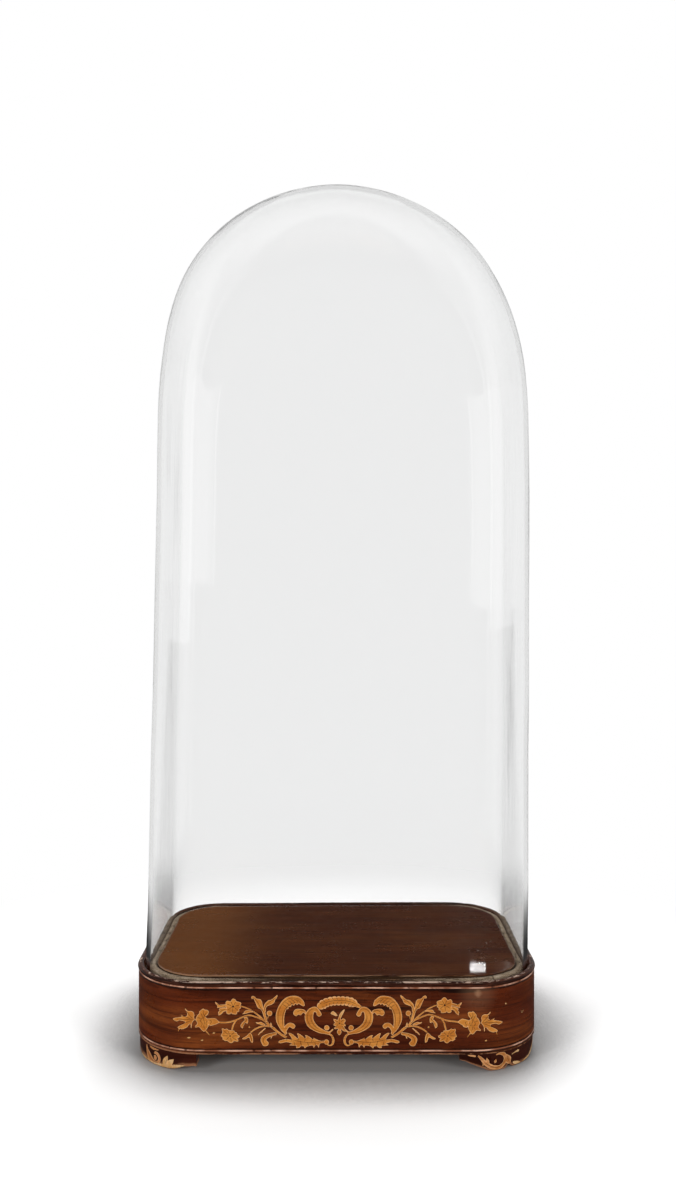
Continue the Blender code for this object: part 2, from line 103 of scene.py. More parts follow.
def length(name, description, default_mm):
    return described(FloatProperty, name, description, default_mm * MM, unit="LENGTH", precision=5)


def share(name, description, default):
    return described(FloatProperty, name, description, default, min=0.0, max=1.0, subtype="FACTOR")


def number(name, description, default, lowest=0.0):
    return described(FloatProperty, name, description, default, min=lowest)


def colour(name, description, default):
    limits = {"min": 0.0, "max": 1.0, "size": 3, "subtype": "COLOR"}
    return described(FloatVectorProperty, name, description, srgb(*default), **limits)


class DomeGlassSettings(bpy.types.PropertyGroup):
    wall: length("Wall", "Thickness of the blown glass", 3.2)
    ripple: length("Ripple", "How far the blown skin wanders from its true shape", 0.16)
    lip: length("Lip", "Rounding of the ground foot of the glass", 0.9)
    density: number("Tint density", "How strongly a long way through the glass darkens", 8.0)
    tint: colour("Tint", "Colour that the glass lets through", (176, 184, 182))


class DomeWoodSettings(bpy.types.PropertyGroup):
    ground: colour("Rosewood", "Middle tone of the rosewood", (100, 40, 12))
    dark: colour("Rosewood dark", "Dark figure of the rosewood", (50, 14, 4))
    light: colour("Rosewood light", "Golden streaks of the rosewood", (132, 66, 24))
    ink: colour("Rosewood ink", "Black streaks and pores of the rosewood", (22, 8, 5))
    line: colour("Boxwood", "The pale lines above and below the veneer", (226, 176, 150))
    line_dark: colour("Boxwood dark", "Soiled stretches of the pale lines", (146, 88, 62))
    black: colour("Ebonised", "The stained bead", (26, 9, 5))
    worn_black: colour("Ebonised worn", "Brown streaks in the stained bead", (84, 46, 32))
    # The pale chips on the bead's crest are partly wear and partly a painted highlight.
    chips_and_highlight: colour("Chipped", "The pale ground in the chips of the bead", (226, 208, 196))
    bare: colour("Bare wood", "Wood where the finish is rubbed off", (182, 138, 104))
    pine: colour("Pine", "The carcass", (171, 128, 82))
    pine_dark: colour("Pine dark", "Late wood of the carcass", (126, 82, 44))
    pine_light: colour("Pine light", "Pale fibres of the carcass", (196, 158, 110))
    dirt: colour("Dirt", "Old dirt on the carcass", (88, 62, 42))
    bead_chip: length("Bead chips", "Depth of the dents along the bead", 0.28)


class DomeInlaySettings(bpy.types.PropertyGroup):
    light: colour("Inlay light", "Clear parts of the inlay", (210, 140, 62))
    shade: colour("Inlay shade", "Scorched side of the inlay", (180, 104, 32))
    streak: colour("Inlay streak", "Dark streaks in the inlay", (138, 72, 22))
    rim: colour("Inlay rim", "Rubbed rims of the inlay", (234, 178, 122))
    joint: colour("Joint", "Dark glue round each piece and in each cut", (26, 9, 6))
    joint_dirt: colour("Joint dirt", "Dirt in the glue", (62, 26, 14))
    glue_width: length("Glue width", "Width of the dark line round each inlaid piece", 0.32)
    rim_width: length("Rim width", "Width of the rubbed rim of each piece", 0.35)
    cut_width: length("Cut width", "Width of the engraved lines", 0.3)
    thickness: length("Thickness", "Depth that the inlay reaches into the veneer", 0.15)
    step: length("Step", "Distance between two sections of a ribbon", 0.45)
    offset: length("Offset", "How far the pattern sits to the right of the middle", 1.8)


class DomeCordSettings(bpy.types.PropertyGroup):
    faded: colour("Faded", "Colour where the cord has bleached", (170, 150, 126))
    soiled: colour("Soiled", "Colour where the cord has browned", (50, 26, 12))
    pale: colour("Pale", "The palest threads of the cord", (208, 194, 174))
    tan: colour("Tan", "The palest threads where it has browned", (150, 112, 80))
    shadow: colour("Shadow", "Between the tufts", (70, 52, 34))
    dark: colour("Dark", "Between the threads", (48, 32, 20))
    pile: length("Pile", "Length of the fibres", 0.6)
    fibres: described(IntProperty, "Fibres", "How many fibres stand on the cord", 7000, min=0)
    step: length("Step", "Distance between two sections of the cord", 0.5)


class DomeStageSettings(bpy.types.PropertyGroup):
    distance: length("Camera distance", "From the camera to the front of the base", 800.0)
    height: length("Camera height", "Height of the camera above the floor", 359.3)
    lens: number("Lens", "Focal length in millimetres", 32.49, 1.0)
    shift_x: number("Shift X", "Sideways shift of the lens", 0.00125, -1.0)
    shift_y: number("Shift Y", "Upward shift of the lens", -0.0112, -1.0)
    ambient: number("Ambient", "Even light from all round", 0.13)
    room: number("Room", "Brightness behind the camera in reflections", 0.05)
    dim: number("Dim", "Brightness of what is close, in reflections", 0.03)
    ceiling: number("Ceiling", "Brightness overhead in reflections", 0.65)
    backdrop: number("Backdrop", "Brightness of the back wall in reflections", 0.8)
    floor: share("Floor", "Share of the light that the floor returns", 0.8)
    white: number("White", "How white the floor looks", 1.25)
    contact: share("Contact", "What is left of the floor's light right under the base", 0.32)


SETTINGS = {
    "dome_glass": DomeGlassSettings,
    "dome_wood": DomeWoodSettings,
    "dome_inlay": DomeInlaySettings,
    "dome_cord": DomeCordSettings,
    "dome_stage": DomeStageSettings,
}

# ---------------------------------------------------------------------------------------------
# Shapes
# ---------------------------------------------------------------------------------------------


def plan(s, inset):
    """X and Y of points on the base's outline, for arrays of s and insets."""
    half_round = [SPINE_X, QUARTER_ARC, 2 * SPINE_Y, QUARTER_ARC, SPINE_X]
    runs = half_round[:-1] + [2 * SPINE_X] + half_round[1:]
    knots = np.concatenate([[0.0], np.cumsum(runs)])
    spine_x = np.array([0, 1, 1, 1, 1, -1, -1, -1, -1, 0]) * SPINE_X
    spine_y = np.array([-1, -1, -1, 1, 1, 1, 1, -1, -1, -1]) * SPINE_Y
    turned = np.array([-1, -1, 0, 0, 1, 1, 2, 2, 3, 3]) * QUARTER_TURN
    along = np.mod(s, PERIMETER)
    angle = np.interp(along, knots, turned)
    radius = CORNER_RADIUS - inset
    x = np.interp(along, knots, spine_x) + radius * np.cos(angle)
    y = np.interp(along, knots, spine_y) + radius * np.sin(angle)
    return x, y


def outline_points(s, inset, z):
    """Points at the heights z over the base's outline."""
    x, y = plan(s, inset)
    return np.stack([x, y, np.broadcast_to(z, x.shape)], axis=-1)


def side_length(place):
    if place in CORNERS:
        return QUARTER_ARC
    return 2 * (SPINE_X if place in ("front", "back") else SPINE_Y)


def side_start(place):
    """s where a side or a corner begins."""
    round_base = ("front_left", "front", "front_right", "right", "back_right", "back", "back_left", "left")
    before = round_base[: round_base.index(place)]
    return -SPINE_X - QUARTER_ARC + sum(side_length(passed) for passed in before)


def wobble(points, scale, seed):
    """Smooth noise from -1 to 1 at each row of an array of points."""
    flat = points.reshape(-1, points.shape[-1]) * scale
    shift = Vector((seed * 17.3, seed * 5.1, seed * 9.7))
    values = [noise.noise(Vector(p) + shift) for p in flat]
    return np.array(values).reshape(points.shape[:-1])


def along_wobble(s, scale, seed):
    """Noise along the outline that closes on itself after one turn."""
    turn = s / PERIMETER * math.tau
    radius = PERIMETER / math.tau
    ring = np.stack([np.cos(turn) * radius, np.sin(turn) * radius, np.zeros_like(turn)], axis=-1)
    return wobble(ring, scale, seed)


def linked(name, data):
    """An object of the given mesh, lamp or camera, put into the scene."""
    made = bpy.data.objects.new(name, data)
    bpy.context.scene.collection.objects.link(made)
    return made


def mesh_object(name, points, faces, uvs, materials, indices=None, sharp=40.0):
    """A shaded object from points, faces and one UV for each corner of each face, in metres."""
    mesh = bpy.data.meshes.new(name)
    mesh.from_pydata([tuple(p) for p in points], [], [tuple(f) for f in faces])
    layer = mesh.uv_layers.new(name="UVMap")
    layer.data.foreach_set("uv", np.asarray(uvs, dtype=np.float32).ravel())
    for finish in materials:
        mesh.materials.append(finish)
    if indices is not None:
        mesh.polygons.foreach_set("material_index", np.asarray(indices, dtype=np.int32))
    bm = bmesh.new()
    bm.from_mesh(mesh)
    bmesh.ops.recalc_face_normals(bm, faces=bm.faces)
    bm.to_mesh(mesh)
    bm.free()
    mesh.shade_smooth()
    mesh.set_sharp_from_angle(angle=math.radians(sharp))
    return linked(name, mesh)


def sleeve(rings, us, vs, closed=False, first=0, ends=()):
    """Faces and UVs round rings of points, with U from ring to ring and V round each.

    vs has one value more than a ring, and us has one more where the last ring meets the first. ends has
    the UVs of the caps on the first and the last ring.
    """
    rows, columns = rings.shape[:2]
    i, j = (index.ravel() for index in np.indices((rows - (not closed), columns)))
    i_next, j_next = (i + 1) % rows, (j + 1) % columns
    corners = [i * columns + j, i_next * columns + j, i_next * columns + j_next, i * columns + j_next]
    faces = (np.stack(corners, axis=1) + first).tolist()
    uv = np.stack([us[i], vs[j], us[i + 1], vs[j], us[i + 1], vs[j + 1], us[i], vs[j + 1]], axis=1)
    uvs = uv.reshape(-1, 2).tolist()
    for row, end in zip((0, rows - 1), ends):
        faces.append([first + row * columns + k for k in range(columns)])
        uvs += end
    return faces, uvs


def plain_ends(us, columns):
    """UVs of caps that each have one colour."""
    return [[[u, 0.0]] * columns for u in (us[0], us[-1])]


def sweep(name, section, start, run, finish, step, shape=None):
    """Runs a closed section, a list of (inset, height), along the outline from s = start.

    The UV is (s, distance round the section), in metres. shape(s, inset, z, v) may move the points.
    """
    closed = run >= PERIMETER
    run = min(run, PERIMETER)
    count = max(2, int(math.ceil(run / step)) + 1)
    us = start + np.linspace(0, run, count)
    rows = us[:-1] if closed else us
    ring = np.array(section + section[:1])
    vs = np.concatenate([[0.0], np.cumsum(np.hypot(*np.diff(ring, axis=0).T))])
    inset = np.tile(ring[:-1, 0], (len(rows), 1))
    z = np.tile(ring[:-1, 1], (len(rows), 1))
    s = np.tile(rows[:, None], (1, inset.shape[1]))
    if shape:
        inset, z = shape(s, inset, z, np.tile(vs[:-1], (len(rows), 1)))
    points = outline_points(s, inset, z)
    ends = () if closed else [(ring[:-1] + (u, 0.0)).tolist() for u in (us[0], us[-1])]
    faces, uvs = sleeve(points, us, vs, closed, ends=ends)
    return mesh_object(name, points.reshape(-1, 3), faces, uvs, [finish])


def smooth_path(points, step):
    """Points a step apart along a smooth curve through the given rows of numbers.

    The first two numbers of a row are its place. The rest, such as a width, are carried along.
    """
    given = np.asarray(points, dtype=float)
    if len(given) == 2:
        given = np.stack([given[0], (given[0] + given[1]) / 2, given[1]])
    chord = np.hypot(*np.diff(given[:, :2], axis=0).T)
    knots = np.concatenate([[0.0], np.cumsum(np.sqrt(chord))])
    slopes = np.empty_like(given)
    slopes[1:-1] = (given[2:] - given[:-2]) / (knots[2:] - knots[:-2])[:, None]
    slopes[0] = 2 * (given[1] - given[0]) / (knots[1] - knots[0]) - slopes[1]
    slopes[-1] = 2 * (given[-1] - given[-2]) / (knots[-1] - knots[-2]) - slopes[-2]
    out = []
    for k in range(len(given) - 1):
        h = knots[k + 1] - knots[k]
        count = max(2, int(math.ceil(chord[k] / step)))
        for t in np.arange(count) / count:
            a, b = 2 * t**3 - 3 * t**2 + 1, t**3 - 2 * t**2 + t
            c, d = -2 * t**3 + 3 * t**2, t**3 - t**2
            out.append(a * given[k] + b * h * slopes[k] + c * given[k + 1] + d * h * slopes[k + 1])
    out.append(given[-1])
    return np.array(out)


def along_path(path):
    """Direction at each row of a path that begins with a place, and the distance run so far."""
    ahead = np.gradient(path[:, :2], axis=0)
    ahead /= np.maximum(np.hypot(*ahead.T), 1e-9)[:, None]
    run = np.cumsum(np.hypot(*np.diff(path[:, :2], axis=0).T))
    return ahead, np.concatenate([[0.0], run])


def ride_base(piece, slot_name, *nodes):
    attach(piece, "base")
    if nodes:
        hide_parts(*nodes)
    return piece


# ---------------------------------------------------------------------------------------------
# Materials
# ---------------------------------------------------------------------------------------------


class Graph:
    """Adds nodes to a node tree. An input may be a value or another node's output."""

    def __init__(self, tree):
        self.tree = tree

    def add(self, kind, inputs=None, **settings):
        made = self.tree.nodes.new(f"ShaderNode{kind}")
        for key, value in settings.items():
            setattr(made, key, value)
        for key, value in (inputs or {}).items():
            self.feed(made.inputs[key], value)
        return made

    def feed(self, socket, value):
        if isinstance(value, bpy.types.NodeSocket):
            self.tree.links.new(value, socket)
        elif socket.type == "RGBA" and len(value) == 3:
            socket.default_value = (*value, 1.0)
        else:
            socket.default_value = value

    def out(self, kind, inputs=None, result=0, **settings):
        """Adds a node and returns one of its outputs."""
        return self.add(kind, inputs, **settings).outputs[result]

    def mix(self, factor, first, second):
        return self.out("Mix", {0: factor, 6: first, 7: second}, 2, data_type="RGBA")

    def mix_shaders(self, factor, first, second):
        return self.out("MixShader", {0: factor, 1: first, 2: second})

    def after(self, kind, bounces=0.5):
        """Whether light has met a surface of a kind more often than the given number of bounces."""
        return self.maths("GREATER_THAN", self.out("LightPath", result=f"{kind} Depth"), bounces)

    def paint(self, base, *layers):
        """Lays colours over a base, each given as (colour, mask, strength)."""
        for tone, mask, strength in layers:
            base = self.mix(self.times(mask, strength), base, tone)
        return base

    def blend(self, factor, first, second):
        return self.out("Mix", {0: factor, 2: first, 3: second}, data_type="FLOAT")

    def maths(self, operation, first, second=0.0, clamp=False):
        return self.out("Math", {0: first, 1: second}, operation=operation, use_clamp=clamp)

    def plus(self, first, second, clamp=False):
        return self.maths("ADD", first, second, clamp)

    def minus(self, first, second):
        return self.maths("SUBTRACT", first, second)

    def times(self, first, second):
        return self.maths("MULTIPLY", first, second)

    def off(self, value, middle=0.0):
        """How far a value is from a middle one, on either side."""
        return self.maths("ABSOLUTE", self.minus(value, middle))

    def ramp(self, factor, low, high, start=0.0, end=1.0):
        inputs = {0: factor, 1: low, 2: high, 3: start, 4: end}
        return self.out("MapRange", inputs, interpolation_type="SMOOTHSTEP", clamp=True)

    def vectors(self, operation, first, second):
        return self.add("VectorMath", {0: first, 1: second}, operation=operation).outputs

    def stretch(self, vector, scale):
        return self.vectors("MULTIPLY", vector, scale if isinstance(scale, tuple) else (scale,) * 3)[0]

    def distance(self, first, second=(0.0, 0.0, 0.0)):
        return self.vectors("DISTANCE", first, second)["Value"]

    def turned(self, vector, rotation):
        return self.out("Mapping", {"Vector": vector, "Rotation": rotation})

    def parts(self, vector):
        return self.add("SeparateXYZ", {0: vector}).outputs

    def grey(self, level):
        return self.out("CombineXYZ", {0: level, 1: level, 2: level})

    def noise(self, vector, scale=1.0, detail=2.0, rough=0.5, twist=0.0):
        sized = self.stretch(vector, scale)
        settings = {"Scale": 1.0, "Detail": detail, "Roughness": rough, "Distortion": twist}
        return self.out("TexNoise", {"Vector": sized, **settings})

    def place(self, source):
        """UV coordinates in metres, or the frame's own coordinates."""
        return self.out("TexCoord", result=source)

    def group(self, tree, **inputs):
        made = self.tree.nodes.new("ShaderNodeGroup")
        made.node_tree = tree
        for key, value in inputs.items():
            self.feed(made.inputs[key], value)
        return made.outputs

    def bumped(self, height, strength, depth):
        return self.out("Bump", {"Height": height, "Strength": strength, "Distance": depth})

    def principled(self, height, bump, depth, **sockets):
        """A Principled shader with a bump. In the names of its sockets an underscore stands for a space."""
        inputs = {name.replace("_", " "): value for name, value in sockets.items()}
        return self.out("BsdfPrincipled", {**inputs, "Normal": self.bumped(height, bump, depth)})


def shared_group(name, inputs, outputs):
    """Turns a function that fills a shader group into one that returns the group, made once.

    inputs has the default of each number, or None for a vector. The outputs are numbers.
    """

    def fill_once(fill):
        def get():
            found = bpy.data.node_groups.get(name)
            if found:
                return found
            tree = bpy.data.node_groups.new(name, "ShaderNodeTree")
            for title, default in inputs.items():
                kind = "NodeSocketVector" if default is None else "NodeSocketFloat"
                socket = tree.interface.new_socket(title, in_out="INPUT", socket_type=kind)
                if default is not None:
                    socket.default_value = default
            for title in outputs:
                tree.interface.new_socket(title, in_out="OUTPUT", socket_type="NodeSocketFloat")
            given = tree.nodes.new("NodeGroupInput").outputs
            g = Graph(tree)
            results = tree.nodes.new("NodeGroupOutput").inputs
            for title, value in zip(outputs, fill(g, given)):
                g.feed(results[title], value)
            return tree

        return get

    return fill_once


@shared_group(
    "timber_grain", {"Vector": None, "Wander": 0.004, "Width": 1.0}, ("Streak", "Figure", "Fibre", "Pores")
)
def grain_group(g, given):
    """Timber figure. Its vector is in metres, with X along the grain."""
    drift = g.noise(given["Vector"], (7.0, 22.0, 22.0))
    sway = g.times(g.minus(drift, 0.5), given["Wander"])
    lift = g.out("CombineXYZ", {1: sway, 2: sway})
    led = g.vectors("ADD", given["Vector"], lift)[0]
    sized = g.out("VectorMath", {0: led, "Scale": given["Width"]}, operation="SCALE")
    streak = g.noise(sized, (7.0, 330.0, 330.0), detail=5.0, rough=0.6, twist=0.4)
    figure = g.noise(sized, (4.5, 60.0, 60.0), detail=3.0, rough=0.55, twist=0.8)
    fibre = g.noise(led, (90.0, 2600.0, 2600.0))
    pores = g.ramp(g.noise(led, (230.0, 3400.0, 3400.0), detail=1.0), 0.62, 0.72)
    return streak, figure, fibre, pores


@shared_group("rubbed_finish", {"Vector": None, "Edge": 0.0, "Amount": 0.5, "Scale": 300.0}, ("Mask",))
def rub_group(g, given):
    """Where a finish is rubbed away: more near an edge, and broken up by noise."""
    sized = g.out("VectorMath", {0: given["Vector"], "Scale": given["Scale"]}, operation="SCALE")
    patches = g.noise(sized, detail=4.0, rough=0.65)
    wide = g.noise(sized, 0.13, detail=1.0)
    level = g.plus(g.plus(g.times(patches, 0.6), g.times(wide, 0.4)), g.times(given["Edge"], 0.35))
    limit = g.minus(1.0, g.times(given["Amount"], 0.5))
    return (g.ramp(g.minus(level, limit), -0.04, 0.06),)


@shared_group("fine_marks", {"Vector": None}, ("Scratches", "Haze"))
def marks_group(g, given):
    """Fine scratches and dust that every polished surface has."""
    at = given["Vector"]
    first = g.noise(g.turned(at, (0.2, 0.3, 0.35)), (40.0, 2400.0, 2400.0), detail=1.0)
    second = g.noise(g.turned(at, (0.1, -0.4, -0.6)), (60.0, 1900.0, 1900.0), detail=1.0)
    lines = g.plus(g.ramp(first, 0.7, 0.78), g.ramp(second, 0.72, 0.8), clamp=True)
    return lines, g.noise(at, 38.0, detail=4.0, rough=0.6)


def new_material(name, fill):
    """A material whose surface is the shader that fill(graph) returns."""
    made = bpy.data.materials.new(name)
    made.use_nodes = True
    made.node_tree.nodes.clear()
    g = Graph(made.node_tree)
    output = g.add("OutputMaterial")
    g.feed(output.inputs["Surface"], fill(g))
    return made


def hazy(g, at, low, high):
    """Roughness that drifts between two values with the haze of the polish."""
    haze = g.group(marks_group(), Vector=at)["Haze"]
    return g.blend(g.ramp(haze, 0.35, 0.7), low, high)


def polished(g, base, rough, height, bump=0.25, depth=0.00015, coat=0.5, coat_rough=0.12, specular=0.15):
    """A polished finish. The polish has worn dull enough to lose its gloss at the far edges."""
    facing = g.out("LayerWeight", {"Blend": 0.5}, "Facing")
    coat = g.times(coat, g.ramp(facing, 0.7, 0.92, 1.0, 0.15))
    return g.principled(
        height, bump, depth, Base_Color=base, Roughness=rough, Specular_IOR_Level=specular, Coat_Weight=coat,
        Coat_Roughness=coat_rough,
    )


def rosewood(name, source="UV", figure=1.0, tones=None, tall=1.0, finish_off=None, coat_rough=0.1, bump=0.25):
    """Polished rosewood with its grain along X of the source coordinates.

    tones are its middle and light tone where they differ from the veneer's. tall scales Y where it isn't in
    metres. finish_off(graph, at, base) may add wear, marks and, on the veneer, a painted highlight, and
    returns the base.
    """
    wood = bpy.context.scene.dome_wood
    ground, light = tones or (wood.ground, wood.light)

    def fill(g):
        at = g.stretch(g.place(source), (1.0, tall, 1.0))
        grain = g.group(grain_group(), Vector=at, Wander=0.01, Width=figure)
        marks = g.group(marks_group(), Vector=at)
        clouds = g.noise(at, (11.0, 34.0, 34.0))
        ink = g.noise(at, (6.0, 190.0, 190.0), detail=4.0, rough=0.6, twist=0.5)
        base = g.paint(
            g.mix(g.ramp(clouds, 0.42, 0.66), ground, light),
            (wood.dark, g.ramp(grain["Figure"], 0.54, 0.36), 0.45),
            (wood.dark, g.ramp(grain["Streak"], 0.5, 0.37), 0.6),
            (light, g.ramp(grain["Streak"], 0.57, 0.72), 0.5),
            (wood.ink, g.ramp(ink, 0.6, 0.68), 0.75),
            (wood.dark, g.ramp(grain["Fibre"], 0.3, 0.7), 0.3),
            (wood.ink, grain["Pores"], 0.6),
        )
        if finish_off:
            base = finish_off(g, at, base)
        coat = g.blend(g.maths("MAXIMUM", grain["Pores"], marks["Scratches"]), 0.45, 0.2)
        height = g.minus(g.times(marks["Haze"], 0.8), g.times(grain["Pores"], 0.6))
        return polished(g, base, hazy(g, at, 0.26, 0.4), height, bump=bump, coat=coat, coat_rough=coat_rough)

    return new_material(name, fill)


def rubbed_edge(start, end, amount, scale=160.0):
    """Wear for rosewood: bare wood towards the edge where Y goes from start to end, broken up by noise."""

    def finish_off(g, at, base):
        wood = bpy.context.scene.dome_wood
        edge = g.ramp(g.parts(at)[1], start, end)
        rubbed = g.group(rub_group(), Vector=at, Edge=edge, Amount=amount, Scale=scale)["Mask"]
        return g.paint(base, (g.mix(g.noise(at, 900.0), wood.bare, wood.light), g.times(rubbed, edge), 0.85))

    return finish_off


def boxwood():
    """The pale lines: close-grained, with soiled stretches and dark spots along them."""
    wood = bpy.context.scene.dome_wood

    def fill(g):
        at = g.place("UV")
        grain = g.group(grain_group(), Vector=at, Wander=0.001, Width=2.0)
        patches = g.noise(at, (55.0, 20.0, 1.0), detail=3.0)
        base = g.paint(
            g.mix(g.ramp(patches, 0.42, 0.6), wood.line_dark, wood.line),
            (wood.line_dark, g.ramp(grain["Streak"], 0.5, 0.36), 0.45),
            (wood.dark, g.ramp(g.noise(at, (160.0, 60.0, 1.0)), 0.62, 0.7), 0.8),
        )
        return polished(g, base, hazy(g, at, 0.3, 0.45), grain["Fibre"], bump=0.15, depth=0.0001, coat=0.4)

    return new_material("boxwood", fill)


def ebonised():
    """Black-stained wood. Its crest carries pale chips, most of all along the front: partly bare ground where
    it was knocked, partly a painted highlight.
    """
    wood = bpy.context.scene.dome_wood

    def fill(g):
        at = g.place("UV")
        grain = g.group(grain_group(), Vector=at, Wander=0.002, Width=1.6)
        along, up, _ = g.parts(at)
        crest = g.ramp(g.off(up, BEAD_CREST_V + BEAD_CHIPS_AND_HIGHLIGHT_BELOW), 0.0015, 0.0005)
        front = g.ramp(g.off(along), 0.15, 0.115, 0.0, 0.04)
        for middle, half in BEAD_CHIPS_AND_HIGHLIGHTS:
            front = g.plus(front, g.ramp(g.off(along, middle), half, half * 0.6, 0.0, 0.035))
        chips = g.noise(at, (160.0, 520.0, 1.0), detail=4.0, rough=0.7)
        groups = g.noise(at, (26.0, 1.0, 1.0), detail=1.0)
        level = g.plus(g.plus(g.times(chips, 0.6), g.times(groups, 0.4)), front)
        # Pale chips on the crest: partly bare ground in knocks, partly a painted highlight where the crest
        # catches the light.
        chips_and_highlight = g.times(g.ramp(level, 0.55, 0.585), crest)
        scuffs = g.noise(at, (95.0, 900.0, 1.0), detail=5.0, rough=0.7)
        base = g.paint(
            wood.black,
            (wood.worn_black, g.ramp(grain["Streak"], 0.4, 0.6), 0.6),
            (wood.worn_black, g.ramp(scuffs, 0.52, 0.64), 0.8),
            (g.mix(g.noise(at, (1500.0, 1500.0, 1.0)), wood.chips_and_highlight, wood.bare), chips_and_highlight, 0.9),
        )
        rough = g.blend(chips_and_highlight, hazy(g, at, 0.24, 0.4), 0.5)
        height = g.minus(g.times(grain["Streak"], 0.5), chips_and_highlight)
        return polished(g, base, rough, height, bump=0.35, depth=0.0002, coat=0.14, specular=0.02)

    return new_material("ebonised_wood", fill)


def inlaid_wood(name="inlay_wood", light=None, shade=None):
    """Inlaid sycamore and box. V runs over each piece, 0.5 along its middle and 0 or 1 at its edges."""
    inlay = bpy.context.scene.dome_inlay

    def fill(g):
        at = g.place("Object")
        grain = g.group(grain_group(), Vector=at, Wander=0.002, Width=2.4)
        patches = g.noise(at, 130.0)
        edge = g.times(g.off(g.parts(g.place("UV"))[1], 0.5), 2.0)
        rim = g.ramp(g.plus(edge, g.times(patches, 0.3)), 0.72, 1.05)
        base = g.mix(g.ramp(patches, 0.38, 0.66), shade or inlay.shade, light or inlay.light)
        base = g.paint(
            g.mix(0.45, base, g.mix(0.5, inlay.light, inlay.shade)),
            (inlay.rim, rim, 0.8),
            (inlay.streak, g.ramp(grain["Streak"], 0.48, 0.34), 0.4),
            (inlay.joint, grain["Pores"], 0.35),
        )
        return polished(g, base, hazy(g, at, 0.3, 0.44), grain["Fibre"], bump=0.15, depth=0.0001, coat=0.45)

    return new_material(name, fill)


def glue_joint():
    """Dark glue and scorched edges round the inlay, with dirt in it."""
    inlay = bpy.context.scene.dome_inlay

    def fill(g):
        dirt = g.noise(g.place("Object"), 900.0, detail=3.0)
        base = g.mix(dirt, inlay.joint, inlay.joint_dirt)
        return polished(g, base, g.blend(dirt, 0.3, 0.55), dirt, bump=0.2, depth=0.0001, coat=0.3)

    return new_material("glue_joint", fill)


def chenille():
    """Faded cord with its pile rubbed flat in places."""
    cord = bpy.context.scene.dome_cord

    def fill(g):
        at = g.place("Object")
        tufts = g.noise(at, 1500.0, detail=3.0, rough=0.7)
        stains = g.noise(at, (16.0, 16.0, 60.0), detail=3.0)
        threads = g.noise(at, (110.0, 110.0, 1500.0), detail=3.0, rough=0.6)
        middle = g.ramp(g.off(g.parts(at)[0], CORD_BROWNEST), 0.11, 0.035)
        soil = g.plus(middle, g.ramp(stains, 0.5, 0.72, 0.0, 0.5), clamp=True)
        base = g.paint(
            g.mix(soil, cord.faded, cord.soiled),
            (cord.shadow, g.ramp(tufts, 0.56, 0.38), 0.7),
            (cord.pale, g.times(g.ramp(tufts, 0.58, 0.72), g.minus(1.0, soil)), 0.5),
            (g.mix(soil, cord.pale, cord.tan), g.ramp(threads, 0.57, 0.66), 0.5),
            (cord.dark, g.ramp(threads, 0.46, 0.36), 0.75),
        )
        rough = g.blend(tufts, 0.8, 1.0)
        return g.principled(tufts, 0.6, 0.0005, Base_Color=base, Roughness=rough, Sheen_Weight=0.05)

    return new_material("chenille", fill)


def pine(name, turn):
    """Bare pine with its grain turned from X. Its top, where it shows in the groove, is painted black as the
    groove's shade.
    """
    wood = bpy.context.scene.dome_wood

    def fill(g):
        at = g.place("Object")
        grain = g.group(grain_group(), Vector=g.turned(at, (0.0, 0.0, turn)), Wander=0.012, Width=0.42)
        dirt = g.noise(at, 24.0, detail=5.0, rough=0.65)
        # Painted shade: the top of the pine, down in the groove, goes black.
        top = g.ramp(g.parts(at)[2], GROOVE_FLOOR - 0.0004, GROOVE_FLOOR - 0.0001)
        base = g.paint(
            wood.pine,
            (wood.pine_dark, g.ramp(grain["Streak"], 0.5, 0.66), 0.75),
            (wood.pine_light, g.ramp(grain["Fibre"], 0.4, 0.7), 0.3),
            (wood.dirt, g.ramp(dirt, 0.46, 0.68), 0.6),
            (wood.black, top, 0.9),
        )
        height = g.plus(grain["Streak"], g.times(grain["Fibre"], 0.4))
        rough = g.blend(dirt, 0.62, 0.88)
        return g.principled(height, 0.5, 0.0003, Base_Color=base, Roughness=rough, Specular_IOR_Level=0.35)

    return new_material(name, fill)


def iron():
    """Dull iron with a bloom of rust."""

    def fill(g):
        at = g.place("Object")
        rust = g.ramp(g.noise(at, 700.0, detail=5.0, rough=0.7), 0.48, 0.62)
        lines = g.noise(at, (4000.0, 500.0, 500.0), detail=1.0)
        base = g.mix(rust, g.mix(lines, srgb(96, 92, 86), srgb(150, 146, 138)), srgb(94, 52, 30))
        rough, metal = g.blend(rust, 0.38, 0.85), g.blend(rust, 1.0, 0.1)
        height = g.plus(rust, lines)
        return g.principled(height, 0.4, 0.0002, Base_Color=base, Roughness=rough, Metallic=metal)

    return new_material("dull_iron", fill)


def blown_glass():
    """Clear old glass. Long ways through it, at its outlines, go grey. Lamps shine through it."""
    glass = bpy.context.scene.dome_glass

    def fill(g):
        at = g.place("Object")
        slow = g.noise(at, (9.0, 9.0, 3.5))
        cords = g.noise(at, (70.0, 70.0, 9.0), twist=0.6)
        height = g.plus(g.times(slow, 0.85), g.times(cords, 0.15))
        white = (1.0, 1.0, 1.0)
        clear = g.principled(
            height, 0.35, 0.0008, Base_Color=white, Roughness=0.0, IOR=1.5, Transmission_Weight=1.0
        )
        lamps = g.out("LightPath", result="Is Shadow Ray")
        return g.mix_shaders(lamps, clear, g.out("BsdfTransparent"))

    made = new_material("blown_glass", fill)
    g = Graph(made.node_tree)
    tint = g.out("VolumeAbsorption", {"Color": tuple(glass.tint), "Density": glass.density})
    g.feed(made.node_tree.get_output_node("ALL").inputs["Volume"], tint)
    return made


# ---------------------------------------------------------------------------------------------
# Sizes of the mouldings, from the frame
# ---------------------------------------------------------------------------------------------

